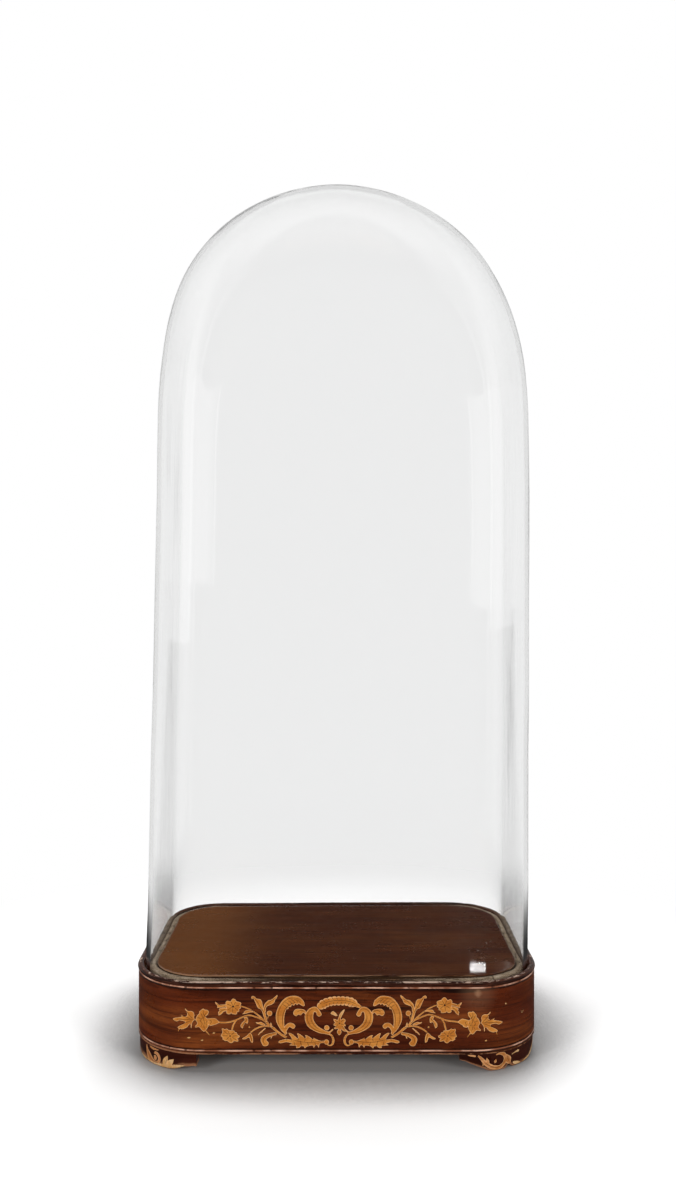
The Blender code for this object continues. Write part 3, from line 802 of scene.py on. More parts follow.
# X where the cord has browned most.
CORD_BROWNEST = -0.002
BEAD_LOW, BEAD_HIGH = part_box("front_bead")
BEAD_OVERHANG = -BEAD_LOW.y - HALF_DEPTH
BEAD_INNER_INSET = HALF_DEPTH + BEAD_HIGH.y
FACE_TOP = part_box("upper_stringing")[1].z
GROOVE_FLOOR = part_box("top_board")[1].z
BEAD_FILLET = 0.8 * MM
BEAD_HALF_WIDTH = (BEAD_INNER_INSET + BEAD_OVERHANG) / 2
BEAD_MIDDLE = (BEAD_INNER_INSET - BEAD_OVERHANG) / 2
BEAD_SPRING = FACE_TOP + GLUE_LINE + BEAD_FILLET
BEAD_STEPS = 12


def bead_section():
    """A flattened bead on its fillet, with its tongue, from the inner foot over the crest."""
    rise = BEAD_HIGH.z - BEAD_SPRING
    points = [(BEAD_INNER_INSET, BEAD_LOW.z)]
    for i in range(BEAD_STEPS + 1):
        a = math.pi * i / BEAD_STEPS
        points.append((BEAD_MIDDLE + BEAD_HALF_WIDTH * math.cos(a), BEAD_SPRING + rise * math.sin(a)))
    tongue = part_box("front_rail")[0].y + HALF_DEPTH
    fillet = BEAD_SPRING - BEAD_FILLET
    return points + [(-0.0001, fillet), (tongue, fillet), (tongue, BEAD_LOW.z)]


def crest_distance():
    """How far round its section the crest of the bead is."""
    points = np.array(bead_section()[: BEAD_STEPS // 2 + 2])
    return float(np.hypot(*np.diff(points, axis=0).T).sum())


BEAD_CREST_V = crest_distance()
BEAD_CHIPS_AND_HIGHLIGHT_BELOW = 0.0006
# Where the crest has most pale chips, partly knocks and partly painted highlight: middles and half lengths,
# from the middle of the front.
BEAD_CHIPS_AND_HIGHLIGHTS = ((-0.0965, 0.032), (0.0875, 0.026))

# ---------------------------------------------------------------------------------------------
# Inlay
# ---------------------------------------------------------------------------------------------


class Inlay:
    """Collects inlaid pieces on an upright face of the base, and makes one object of them.

    Places are in millimetres: x along the face from the pattern's middle, h above its mid-height.
    Each piece is a closed solid. A later piece lies a hair higher, so that it shows where they cross.
    """

    WOOD, JOINT, PALE = range(3)
    # Nothing reaches the surface that the feet stand on.
    LOWEST = 0.00005
    # A ribbon from side to side: shares of its half width, with the glue line beyond them, and V.
    ACROSS = np.array([-1, -1, -1, -0.55, 0, 0.55, 1, 1, 1])
    GLUE_BEYOND = np.array([-1, -1, 0, 0, 0, 0, 0, 1, 1])
    RIBBON_V = np.array([0, 0, 0, 0.22, 0.5, 0.78, 1, 1, 1, 0])
    # How far the surface of a piece stands over its rim and its glue line lies under it, in millimetres.
    CROWN = np.array([0.01, 0.012, 0.01])
    GLUE_DROP = 0.015

    def __init__(self, middle_s, middle_z, face_inset=0.0, side=1, warp=None):
        self.middle_s = middle_s
        self.middle_z = middle_z
        self.face_inset = face_inset
        self.side = side
        self.warp = warp
        inlay = bpy.context.scene.dome_inlay
        self.glue, self.rim_width = inlay.glue_width / MM, inlay.rim_width / MM
        self.cut_width, self.step = inlay.cut_width / MM, inlay.step / MM
        self.low = -inlay.thickness / MM
        self.points, self.faces, self.uvs, self.indices = [], [], [], []
        self.count = 0

    def on_face(self, x, h, lift):
        if self.warp:
            x, h = self.warp(x, h, self.side)
        height = np.maximum(self.middle_z + h * MM, self.LOWEST)
        return outline_points(self.middle_s + self.side * x * MM, self.face_inset - lift * MM, height)

    def rise(self):
        """Lift of the next piece above the face, in millimetres."""
        self.count += 1
        return 0.02 + 0.0012 * self.count

    def add(self, x, h, lifts, us, vs, kinds, caps, u_across=False):
        """Adds a closed strip: rows of a ring of points that wraps round, capped at both ends."""
        points = self.on_face(x, h, np.broadcast_to(lifts, x.shape))
        ends = plain_ends(us, points.shape[1])
        faces, uvs = sleeve(points, us, vs, first=len(self.points), ends=ends)
        self.points += points.reshape(-1, 3).tolist()
        self.faces += faces
        self.uvs += [pair[::-1] for pair in uvs] if u_across else uvs
        self.indices += [*kinds, *caps]

    def ribbon(self, *curves, wood=WOOD, teeth=0, tooth=0.0, scallops=0):
        """Strips of wood along curves of (x, h, width). Teeth or scallops shape their sides."""
        for curve in curves:
            path = smooth_path(curve, self.step)
            ahead, run = along_path(path)
            half = np.maximum(path[:, 2], 0.16) / 2
            if scallops:
                half = half * (0.74 + 0.3 * np.sqrt(np.abs(np.sin(math.pi * scallops * run / run[-1]))))
            if teeth:
                half = half * (1 - tooth * np.mod(run / run[-1] * teeth, 1.0))
            top = self.rise()
            edge = [self.low, top - self.GLUE_DROP, top]
            lifts = np.array([*edge, *(top + self.CROWN), *reversed(edge)])
            offsets = half[:, None] * self.ACROSS + self.glue * self.GLUE_BEYOND
            x = path[:, 0:1] - ahead[:, 1:2] * offsets
            h = path[:, 1:2] + ahead[:, 0:1] * offsets
            kinds = [self.JOINT] * 2 + [wood] * 4 + [self.JOINT] * 3
            self.add(x, h, lifts, run, self.RIBBON_V, kinds * (len(run) - 1), [self.JOINT] * 2)

    def cut(self, *lines, width=None):
        """Engraved lines, filled with dark mastic."""
        for line in lines:
            path = smooth_path(line, self.step)
            ahead, run = along_path(path)
            part = np.linspace(0, 1, len(path))
            taper = np.clip(np.minimum(part, 1 - part) * 8, 0.15, 1.0)
            top = self.rise() + 0.012
            offsets = ((width or self.cut_width) / 2 * taper)[:, None] * np.array([-1.0, -1.0, 1.0, 1.0])
            x = path[:, 0:1] - ahead[:, 1:2] * offsets
            h = path[:, 1:2] + ahead[:, 0:1] * offsets
            kinds = [self.JOINT] * 4 * (len(run) - 1)
            self.add(x, h, np.array([0.0, top, top, 0.0]), run, np.linspace(0, 1, 5), kinds, [self.JOINT] * 2)

    def ball(self, x, h, radius, corners=18, wood=WOOD):
        """A round piece. Its rings run from near its middle, over its rim, down its glue line."""
        top = self.rise()
        shares = np.array([0.02, 0.5, 0.82, 1.0, 1.0, 1.0])[:, None]
        glue = np.array([0.0, 0.0, 0.0, 0.0, self.glue, self.glue])[:, None]
        lifts = [top + 0.014, top + 0.012, top + 0.008, top, top - self.GLUE_DROP, self.low]
        lifts = np.array(lifts)[:, None]
        angles = np.linspace(0, math.tau, corners + 1)
        radii = np.tile(radius * shares + glue, corners)
        kinds = [wood] * 3 * corners + [self.JOINT] * 2 * corners
        v = np.array([0.5, 0.34, 0.12, 0, 0, 0])
        x, h = x + radii * np.cos(angles[:-1]), h + radii * np.sin(angles[:-1])
        self.add(x, h, lifts, v, angles / 1000, kinds, [wood, self.JOINT], u_across=True)

    def flower_cuts(self, x, h, start, eye, tips):
        """Cuts that spread from a flower's middle to the given tips, and its eye."""
        for tip_x, tip_h in tips:
            self.cut([(x + (tip_x - x) * start, h + (tip_h - h) * start), (tip_x, tip_h)])
        self.ball(x, h, eye, 12, self.JOINT)

    def piece(self, *outlines, wood=WOOD):
        """Pieces of any outline: the glue line, the rubbed rim and the field inside the rim of each."""
        for outline in outlines:
            rim = smooth_path([*outline, outline[0]], self.step)[:-1]
            along = np.roll(rim, -1, axis=0) - np.roll(rim, 1, axis=0)
            along /= np.maximum(np.hypot(*along.T), 1e-9)[:, None]
            area = np.sum(rim[:, 0] * np.roll(rim[:, 1], -1) - np.roll(rim[:, 0], -1) * rim[:, 1])
            outward = np.stack([along[:, 1], -along[:, 0]], axis=1) * math.copysign(1.0, area)
            top = self.rise()
            self.prism(rim + outward * self.glue, self.low, top - self.GLUE_DROP, self.JOINT, 0.5)
            self.prism(rim, top - 0.02, top, wood, 0.03)
            self.prism(rim - outward * self.rim_width, top - 0.005, top + 0.008, wood, 0.4)

    def prism(self, outline, low, high, kind, v):
        """A closed solid between two heights, cut into strips narrow enough to follow the round corner."""
        corners = [Vector((x, h)) for x, h in outline]
        places, _, faces, *_ = delaunay_2d_cdt(corners, [], [list(range(len(corners)))], 1, 1e-5)
        bm = bmesh.new()
        made = [bm.verts.new((*place, 0.0)) for place in places]
        for face in faces:
            bm.faces.new([made[k] for k in face])
        for at in np.arange(math.ceil(min(outline[:, 0])), max(outline[:, 0]), 1.5):
            parts = bm.verts[:] + bm.edges[:] + bm.faces[:]
            bmesh.ops.bisect_plane(bm, geom=parts, plane_co=(at, 0, 0), plane_no=(1, 0, 0), dist=1e-5)
        bm.verts.index_update()
        flat = np.array([(vert.co.x, vert.co.y) for vert in bm.verts])
        count, first = len(flat), len(self.points)
        for lift in (high, low):
            self.points += self.on_face(flat[:, 0], flat[:, 1], lift).tolist()
        for face in bm.faces:
            ring = [vert.index + first for vert in face.verts]
            self.faces += [ring, [k + count for k in reversed(ring)]]
            self.uvs += [[flat[k - first][0], v] for k in ring] + [[0.0, v]] * len(ring)
            self.indices += [kind, kind]
        for edge in bm.edges:
            if edge.is_boundary:
                a = edge.link_loops[0].vert.index + first
                b = edge.link_loops[0].link_loop_next.vert.index + first
                self.faces.append([b, a, a + count, b + count])
                self.uvs += [[0.0, v]] * 4
                self.indices.append(kind)
        bm.free()

    def leaf(self, root, tip, width, bend=0.0, wood=WOOD, full=0.42, vein=False):
        """A pointed leaf from root to tip. bend bows it sideways, full is where it is widest."""
        (x0, h0), (x1, h1) = root, tip
        run_x, run_h = x1 - x0, h1 - h0
        rows = []
        for t in (0.0, 0.12, 0.28, full, 0.62, 0.82, 1.0):
            bow = bend * 4 * t * (1 - t)
            grown = t / full if t < full else 1 + (t - full) / (1 - full)
            swell = width * math.sin(QUARTER_TURN * grown)
            rows.append((x0 + run_x * t - run_h * bow, h0 + run_h * t + run_x * bow, swell))
        self.ribbon(rows, wood=wood)
        if vein:
            self.cut([(x, h) for x, h, _ in rows[1:6]])

    def build(self, name, materials):
        return mesh_object(name, self.points, self.faces, self.uvs, materials, self.indices, sharp=30.0)


def stems(inlay):
    """The stems of one half."""
    inlay.ribbon(
        [(89.5, -2, 1.2), (81.8, -2.1, 1.1), (76.8, -0.7, 1.1), (70, 2.2, 1.1), (66, 3.1, 1.1),
         (61, 1.7, 1.1), (55.5, -0.7, 1.3), (51.5, -4.1, 1.5), (43.6, -10.4, 1.6), (38.6, -13.2, 1.6)],
        [(73.5, 9.9, 0.9), (68.3, 8.5, 0.9), (62, 5, 1), (56, -0.2, 1.2)],
        [(78.9, -7.8, 1.2), (78, -4.1, 1.1), (75.6, -0.4, 0.9)],
        [(65.4, -10, 0.8), (62, -7.2, 1.1), (56, -4.9, 1.2), (50, -5.4, 1.3), (46, -8.4, 1.2)],
        [(54.5, 4.4, 1.6), (53.8, 0.4, 1.5), (52.6, -3.2, 1.6)],
        [(51.8, 4, 0.6), (52.6, 1, 0.6), (53.5, -1.4, 0.6)],
    )


def corner_sprig(inlay):
    """The sprig of leaves nearest the corner."""
    inlay.piece([
        (106.3, -0.1), (107.1, 1.7), (106.8, 3.3), (107.4, 5.1), (109, 6.1), (112, 6.2), (113.8, 7.8),
        (113.7, 6.6), (112.7, 5.6), (112.3, 2.8), (113.7, 1.9), (117.3, 2.6), (116.5, 1.5), (122.3, -0.2),
        (123.9, -1.3), (120.5, -2.6), (118.5, -1.5), (114.2, -1.9), (114.2, -2.9), (119.1, -6.1),
        (119.8, -7.2), (118.9, -7.9), (119.3, -9.8), (117.9, -7.5), (116.5, -7.9), (112.6, -6.2),
        (110.4, -3.6), (109.5, -4.2), (109.6, -5.8), (109, -6.6), (108.5, -2.8),
    ])
    inlay.cut(
        [(106.8, 0), (112, -0.2), (121.6, -0.9)],
        [(108, 0.6), (111, 3.4), (112.6, 5.6)],
        [(108.4, -0.6), (113.4, -2.8), (118.6, -5.6)],
        [(109.4, 0.2), (113.6, 1.6), (116.4, 2.2)],
    )


def great_flower(inlay):
    """The great flower, its calyx and its tendril."""
    inlay.piece([
        (97.6, 0.6), (93.1, 1.1), (91.3, 0.8), (88.7, -1.4), (88.7, -2.6), (94.7, -4.6), (96.9, -3),
        (96.8, -1.4),
    ])
    inlay.ribbon([(98.6, -8, 0.9), (97.2, -9.6, 0.7), (95.6, -11.6, 0.3)])
    inlay.piece([
        (106.1, -0.4), (104.5, 3.3), (103.2, 4.4), (103.1, 6), (100.3, 8), (99.2, 7.3), (97.4, 7.1),
        (96.3, 6), (96.6, 4.1), (98.4, 2), (97.6, 1), (96.8, 0.6), (96.3, -4.6), (99.2, -8.7), (100.8, -8.4),
        (103.4, -5.6), (106.1, -6), (106.3, -4.9), (104.7, -3),
    ])
    inlay.cut(
        [(96.8, 5.4), (98.6, 4), (100, 1), (99.4, -2), (99.8, -5), (98.4, -7.4)],
        [(102.6, 5.4), (101.4, 3.6), (100.8, 1.2), (102.4, -0.8), (101, -3), (102.4, -5.6)],
        [(99.6, 7), (100.2, 4.6), (99, 2.6), (97.6, 1.2)],
        [(97, -1), (98.2, -2.6), (97.4, -4.6)],
        [(104.6, 1.4), (103, 1.2), (102.2, 0.2)],
        [(95.6, -0.6), (94.2, -1.6), (95.4, -3.2)],
    )


def upper_flower(inlay):
    """The upper flower with its leaves."""
    inlay.piece(
        [(83.1, 11.3), (87.9, 11), (89.5, 11.7), (91.3, 13.1), (91.1, 11.9), (89.7, 9.7), (90, 8.7),
         (83.4, 9.4)],
        [(83.2, 8.9), (87.9, 8.2), (88.7, 7.5), (88.1, 6.5), (89.3, 5.4), (88.9, 4.1), (89, 3), (86.7, 4.1),
         (85.2, 5.7), (83.1, 6.5)],
    )
    inlay.cut([(89.8, 11.8), (86.6, 10.2), (83.4, 9.8)], [(88.4, 4.4), (86.8, 6.4), (83.8, 7.6)])
    inlay.piece([
        (83.4, 10.5), (83.6, 12.8), (82.3, 13.9), (80.2, 13.4), (79.2, 14.7), (77.8, 15.4), (76.5, 14.7),
        (75.7, 13.6), (72.3, 12.3), (72.8, 9.9), (72.3, 8.6), (73.6, 7.6), (73.7, 6), (75.2, 5.5),
        (75.5, 3.9), (78.9, 4.1), (79.7, 5), (80.2, 4.1), (81.8, 3.9), (83.1, 4.7), (83.1, 6), (83.9, 7),
        (83.1, 8.4), (83.6, 9.4),
    ])
    petals = [(82.6, 11.4), (79.8, 13.4), (76.2, 13.2), (73.8, 10.6), (74.6, 6.8), (78.6, 5.4), (82.2, 7.2)]
    inlay.flower_cuts(78.2, 9.6, 0.25, 0.75, petals)
    inlay.piece([
        (63.3, 6.4), (68.3, 6.8), (69.7, 6), (70.4, 4.9), (71.5, 3.9), (68.1, 4.6), (65.4, 5.4), (63.6, 5.4),
    ])


def rosette(inlay):
    """The rosette under the upper flower."""
    inlay.piece([
        (86, -9.1), (86.5, -6.9), (85.5, -6.6), (84.2, -7.2), (82.8, -6.7), (81.3, -7.8), (77.4, -8.2),
        (77, -9.3), (75.5, -9.7), (74.9, -11.2), (73.3, -12.2), (73.9, -13.5), (75.2, -14.1), (74.3, -15.1),
        (74.7, -16.3), (77.6, -15.9), (78.4, -17), (80.2, -17.4), (82.5, -15.8), (84.2, -15.9), (85, -15.1),
        (86, -14.6), (85.9, -13.3), (87.3, -12), (86.5, -10.5),
    ])
    petals = [(85, -8.4), (81.8, -8.6), (77.2, -9.4), (74.6, -12), (75.8, -15), (79.4, -16.4), (83.4, -14.8),
              (86, -12)]
    inlay.flower_cuts(80.4, -12.2, 0.3, 0.55, petals)


def small_leaves(inlay):
    """Small leaves and a berry on the stems."""
    inlay.piece(
        [(69.7, 1.9), (67.3, 1), (67.2, -2.6), (68.1, -3), (68.9, -2.4), (70.6, -4.8), (71.2, -6.5),
         (72.8, -4.6), (70.4, -1.1), (69.5, -0.6), (70.2, 1)],
        [(65.7, -9.8), (64.4, -11), (63.5, -14.6), (63.8, -17.1), (65.2, -16.2), (66.5, -13.3),
         (69.4, -14.6), (71.5, -14.1), (68.1, -12), (66.8, -10.5)],
        [(54.6, -6.2), (58.8, -9.8), (59.8, -11.4), (59.1, -11.3), (58, -10.1), (56.7, -9.4), (55.9, -8.3),
         (54.1, -6.7)],
        [(54.6, -3.4), (57.8, -1.8), (59.4, -2.2), (61.5, -2), (60.7, -2.9), (58.8, -3.5), (56.7, -4.1),
         (54.6, -4.6)],
        [(50.9, -5.6), (50.8, -3.5), (50.3, -2.2), (49.8, -3), (49.4, -4.6), (48.8, -5.6)],
    )
    inlay.cut([(67.6, 0.6), (69, -1.4), (71, -4.6)], [(65.4, -11), (65, -13.4), (64.2, -16)])
    inlay.ball(66.2, -5.6, 0.6)


def tall_leaves(inlay):
    """A pair of tall leaves on one stem, and a bud."""
    inlay.piece(
        [(64.9, 16), (64.1, 17.3), (62.5, 17.1), (60.9, 15.6), (57.5, 14.4), (55.7, 8), (54.7, 6),
         (52.9, -1.4), (54.4, -1.4), (56.8, 6), (58.2, 7.8), (59.8, 8.5), (63.1, 15.5), (64.1, 15.2)],
        [(55.6, 6), (55.1, 11), (52.1, 14.2), (49.9, 14.7), (45.6, 18.1), (45.8, 16.1), (47, 14.7),
         (47.7, 12.7), (49.3, 11.3), (53.5, 9.4), (54.3, 5.5)],
    )
    inlay.cut(
        [(63, 15.8), (60, 12.6), (57.8, 8.6), (55.2, 4.6)],
        [(47.2, 15.4), (51.4, 12.8), (54.2, 9.6), (55, 6.6)],
    )
    inlay.ball(51.3, 4.6, 2)


def curled_leaf(inlay):
    """The curled leaf over the great scroll's foot."""
    inlay.piece([
        (46.2, -9.4), (55.1, -11.4), (57.8, -14.6), (56.2, -19.1), (54.1, -19.7), (52.4, -18.8),
        (51.9, -17.2), (53.6, -14.9), (50.3, -12.5), (50.5, -14.2), (49.7, -13.6), (49, -12), (46.2, -11.2),
    ])
    inlay.cut([(47, -9.9), (52.8, -11.6), (55.6, -14), (55.6, -17), (53.8, -18)])


def acanthus(inlay):
    """The acanthus spray along the bottom, with its ball and tail."""
    inlay.piece([
        (44.7, -16.6), (43.5, -15.5), (38.5, -14.4), (35.8, -14.8), (34.9, -13.9), (37.3, -10.1),
        (34.8, -10.4), (30.6, -13.8), (30, -12.8), (30.9, -10.3), (29.6, -10.3), (24.9, -13.6),
        (24.4, -12.8), (25, -11.6), (22.9, -12), (19.4, -14.4), (18.7, -14), (19.2, -13.5), (13.3, -15.8),
        (10.6, -15.5), (10.6, -17.1), (13.3, -17.5), (14.3, -18.3), (14.9, -20.8), (16.1, -18.9),
        (17.5, -19.3), (18.7, -20.8), (19.4, -19.2), (23.3, -19.8), (25.2, -21.2), (26.1, -19.8),
        (28.1, -19.7), (29.3, -20.8), (31.6, -20.9), (31.6, -19.5), (36.7, -18.9), (34.8, -17.8),
        (38.8, -16.7), (43.2, -17.5),
    ])
    inlay.cut(
        [(34.8, -14.8), (30.8, -15.8), (26.7, -16.6), (21.4, -16.8), (15.3, -16.3), (11.3, -16.2)],
        width=0.3,
    )
    for up, places in ((1, (39, 35.6, 30.6, 25.6, 20.4)), (-1, (33.4, 28.6, 23.4, 18))):
        for x in places:
            stem = (x, -15.6 if x > 28 else -16.6)
            inlay.cut([stem, (x - 0.6, -16.2 + up * 2), (x - 0.2 + up * 0.8, -16.2 + up * 3.4)])
    inlay.ball(9.2, -16.6, 1.9)
    inlay.ribbon(
        [(9, -18, 0.8), (6.4, -19.2, 0.9), (4.6, -17.6, 1.5), (4.2, -14.8, 1.6), (5.2, -12.2, 1.4),
         (7.6, -10.4, 1)],
    )


def great_scroll(inlay):
    """The great scroll, with the curl at its foot."""
    inlay.piece(
        [(40.9, -8.4), (40.5, -5.7), (37.8, -2.8), (35.5, -2.4), (33.3, -3.3), (32.2, -5), (33.8, -6.8),
         (36.5, -5.6), (38.6, -8.3), (39, -11.1), (40.2, -11.1)],
        [(39, -10.4), (42.9, -7.7), (46.6, 0.3), (44.9, 9.1), (39.2, 16.1), (31.4, 17.4), (26.7, 14.4),
         (25.3, 10.7), (26.4, 9.9), (30, 11.7), (30.8, 10.7), (32, 11.7), (33.3, 10.3), (34.8, 10.9),
         (35.6, 9.3), (37.1, 9.4), (37.5, 7.7), (38.8, 7.6), (40.4, 1.7), (40, -7.1), (38.2, -10.1)],
    )
    inlay.cut(
        [(43, -6.1), (44.5, -3), (45, 1), (44.7, 5), (43.4, 8.7), (41, 12.4), (37.5, 15.1), (33.5, 15.9),
         (29.8, 15.1), (27.8, 13.1)],
        width=0.26,
    )
    inlay.cut([(41.2, -5.8), (41.6, 0.6), (40.8, 5.4), (38.6, 8.8), (35.4, 11.4), (31.6, 12.6)])
    for x, h in ((38.4, 8.2), (36.6, 9.9), (34.6, 11.2), (32.4, 12), (30.2, 12.4), (28.4, 12)):
        inlay.cut([(x, h), (x + 1.3, h + 1.9), (x + 3.2, h + 2.7)])


def inner_scroll(inlay):
    """The inner scroll, with its side curl."""
    inlay.piece(
        [(24.3, 5.4), (26.1, 7.4), (30.8, 7.9), (32.9, 6.8), (33.7, 4.7), (32.9, 3.1), (31.4, 2.6),
         (29.8, 3.7), (28.2, 3.1), (26.4, 5), (25.1, 4.1), (24.6, 2.7)],
        [(6.6, -11.4), (10.6, -10.6), (14.7, -9.9), (21.4, -6.5), (24.1, -3.2), (25.2, 1), (24.7, 4.4),
         (21.4, 8.4), (16.7, 9.2), (12.9, 4.2), (13.6, 2.6), (15, 2.3), (16.3, 3.3), (16.7, 4.9),
         (17.7, 5.7), (18.7, 4.7), (18.7, -0.3), (15.3, -5), (7.9, -8.9), (4.6, -6.9), (4.3, -7.7),
         (6.3, -9.7)],
    )
    inlay.cut(
        [(10.6, -9.6), (14.7, -8.7), (18.7, -6.7), (21.7, -3.7), (23.3, 0.3), (23.1, 4), (21.4, 6.7),
         (18.7, 7.8), (16.3, 7.4), (15, 5)],
        width=0.26,
    )
    inlay.cut([(25.4, 6), (28.4, 6.6), (31, 5.4)], [(15, -7), (18.6, -4), (20.6, 0.2), (20.2, 4.2)])
    inlay.ball(9, -6.1, 1.9)


# The parts of one half of the pattern, in the order in which they are laid.
HALF_PATTERN = (
    stems, corner_sprig, great_flower, upper_flower, rosette, small_leaves, tall_leaves, curled_leaf,
    acanthus, great_scroll, inner_scroll,
)

# Scallops along each edge of the arch.
BUMPS = 12


def middle_pattern(inlay):
    """The scalloped arch and the sprig between the two inner scrolls. X runs to the right."""
    arch = [(-15.4, 8.4), (-12.6, 10.6), (-8.8, 12.6), (-4.4, 13.6), (0, 13.8), (5.2, 13.6), (10, 12.4),
            (14.2, 10.2), (18, 7.8)]
    inlay.ribbon([(x, h, 2.8 if abs(x) > 14 else 6.6) for x, h in arch], scallops=BUMPS)
    path = smooth_path(arch, 0.1)
    ahead, run = along_path(path)
    for bump in range(1, BUMPS):
        k = np.searchsorted(run, run[-1] * bump / BUMPS)
        for side in (-1, 1):
            out = side * np.array([-ahead[k, 1], ahead[k, 0]])
            steps = ((2.7, 0), (1.7, 0.3), (0.9, 0.9))
            inlay.cut([path[k] + out * reach + ahead[k] * lean for reach, lean in steps])
    inlay.cut([(x, h + 0.2) for x, h in arch[1:-1]])
    inlay.piece(
        [(-0.2, 1.3), (0.4, 3.7), (2.1, 6), (4.1, 7.6), (3.6, 5.4), (2.5, 3.3), (1.3, 1.3)],
        [(-6.2, 4.2), (-4.7, 6.1), (-3, 5.3), (-1.1, 3), (-2.4, 2.5), (-4, 3.3)],
        wood=inlay.PALE,
    )
    inlay.piece(
        [(-4, 0.5), (-2.4, 0.2), (-1.1, -0.3), (0.2, 2.7), (1.1, 1.7), (1.5, -0.2), (2.8, 0.7), (4.3, 0.3),
         (4.9, -1.2), (3.8, -2.7), (4.7, -3.6), (4.9, -4.7), (3.6, -5.2), (6.8, -9.2), (3.1, -8.4),
         (2.1, -7.1), (1.1, -8.1), (-0.2, -7.7), (-1.2, -6.7), (-2.4, -7.1), (-3.6, -6.4), (-2.4, -5),
         (-3.9, -4.2), (-3.8, -3), (-2.7, -2.4), (-3.6, -1.4)],
        [(-1.1, -10.1), (-1.4, -8.7), (-0.7, -7.7), (1.1, -7.7), (1.8, -8.7), (1.5, -10.3), (0.2, -11.6)],
    )
    petals = [(-2.6, -0.6), (0.2, 1), (3.4, -0.2), (3.6, -4.2), (5, -8), (-2.6, -5.6)]
    inlay.flower_cuts(0.4, -2.8, 0.3, 0.5, petals)


# ---------------------------------------------------------------------------------------------
# Operators
# ---------------------------------------------------------------------------------------------


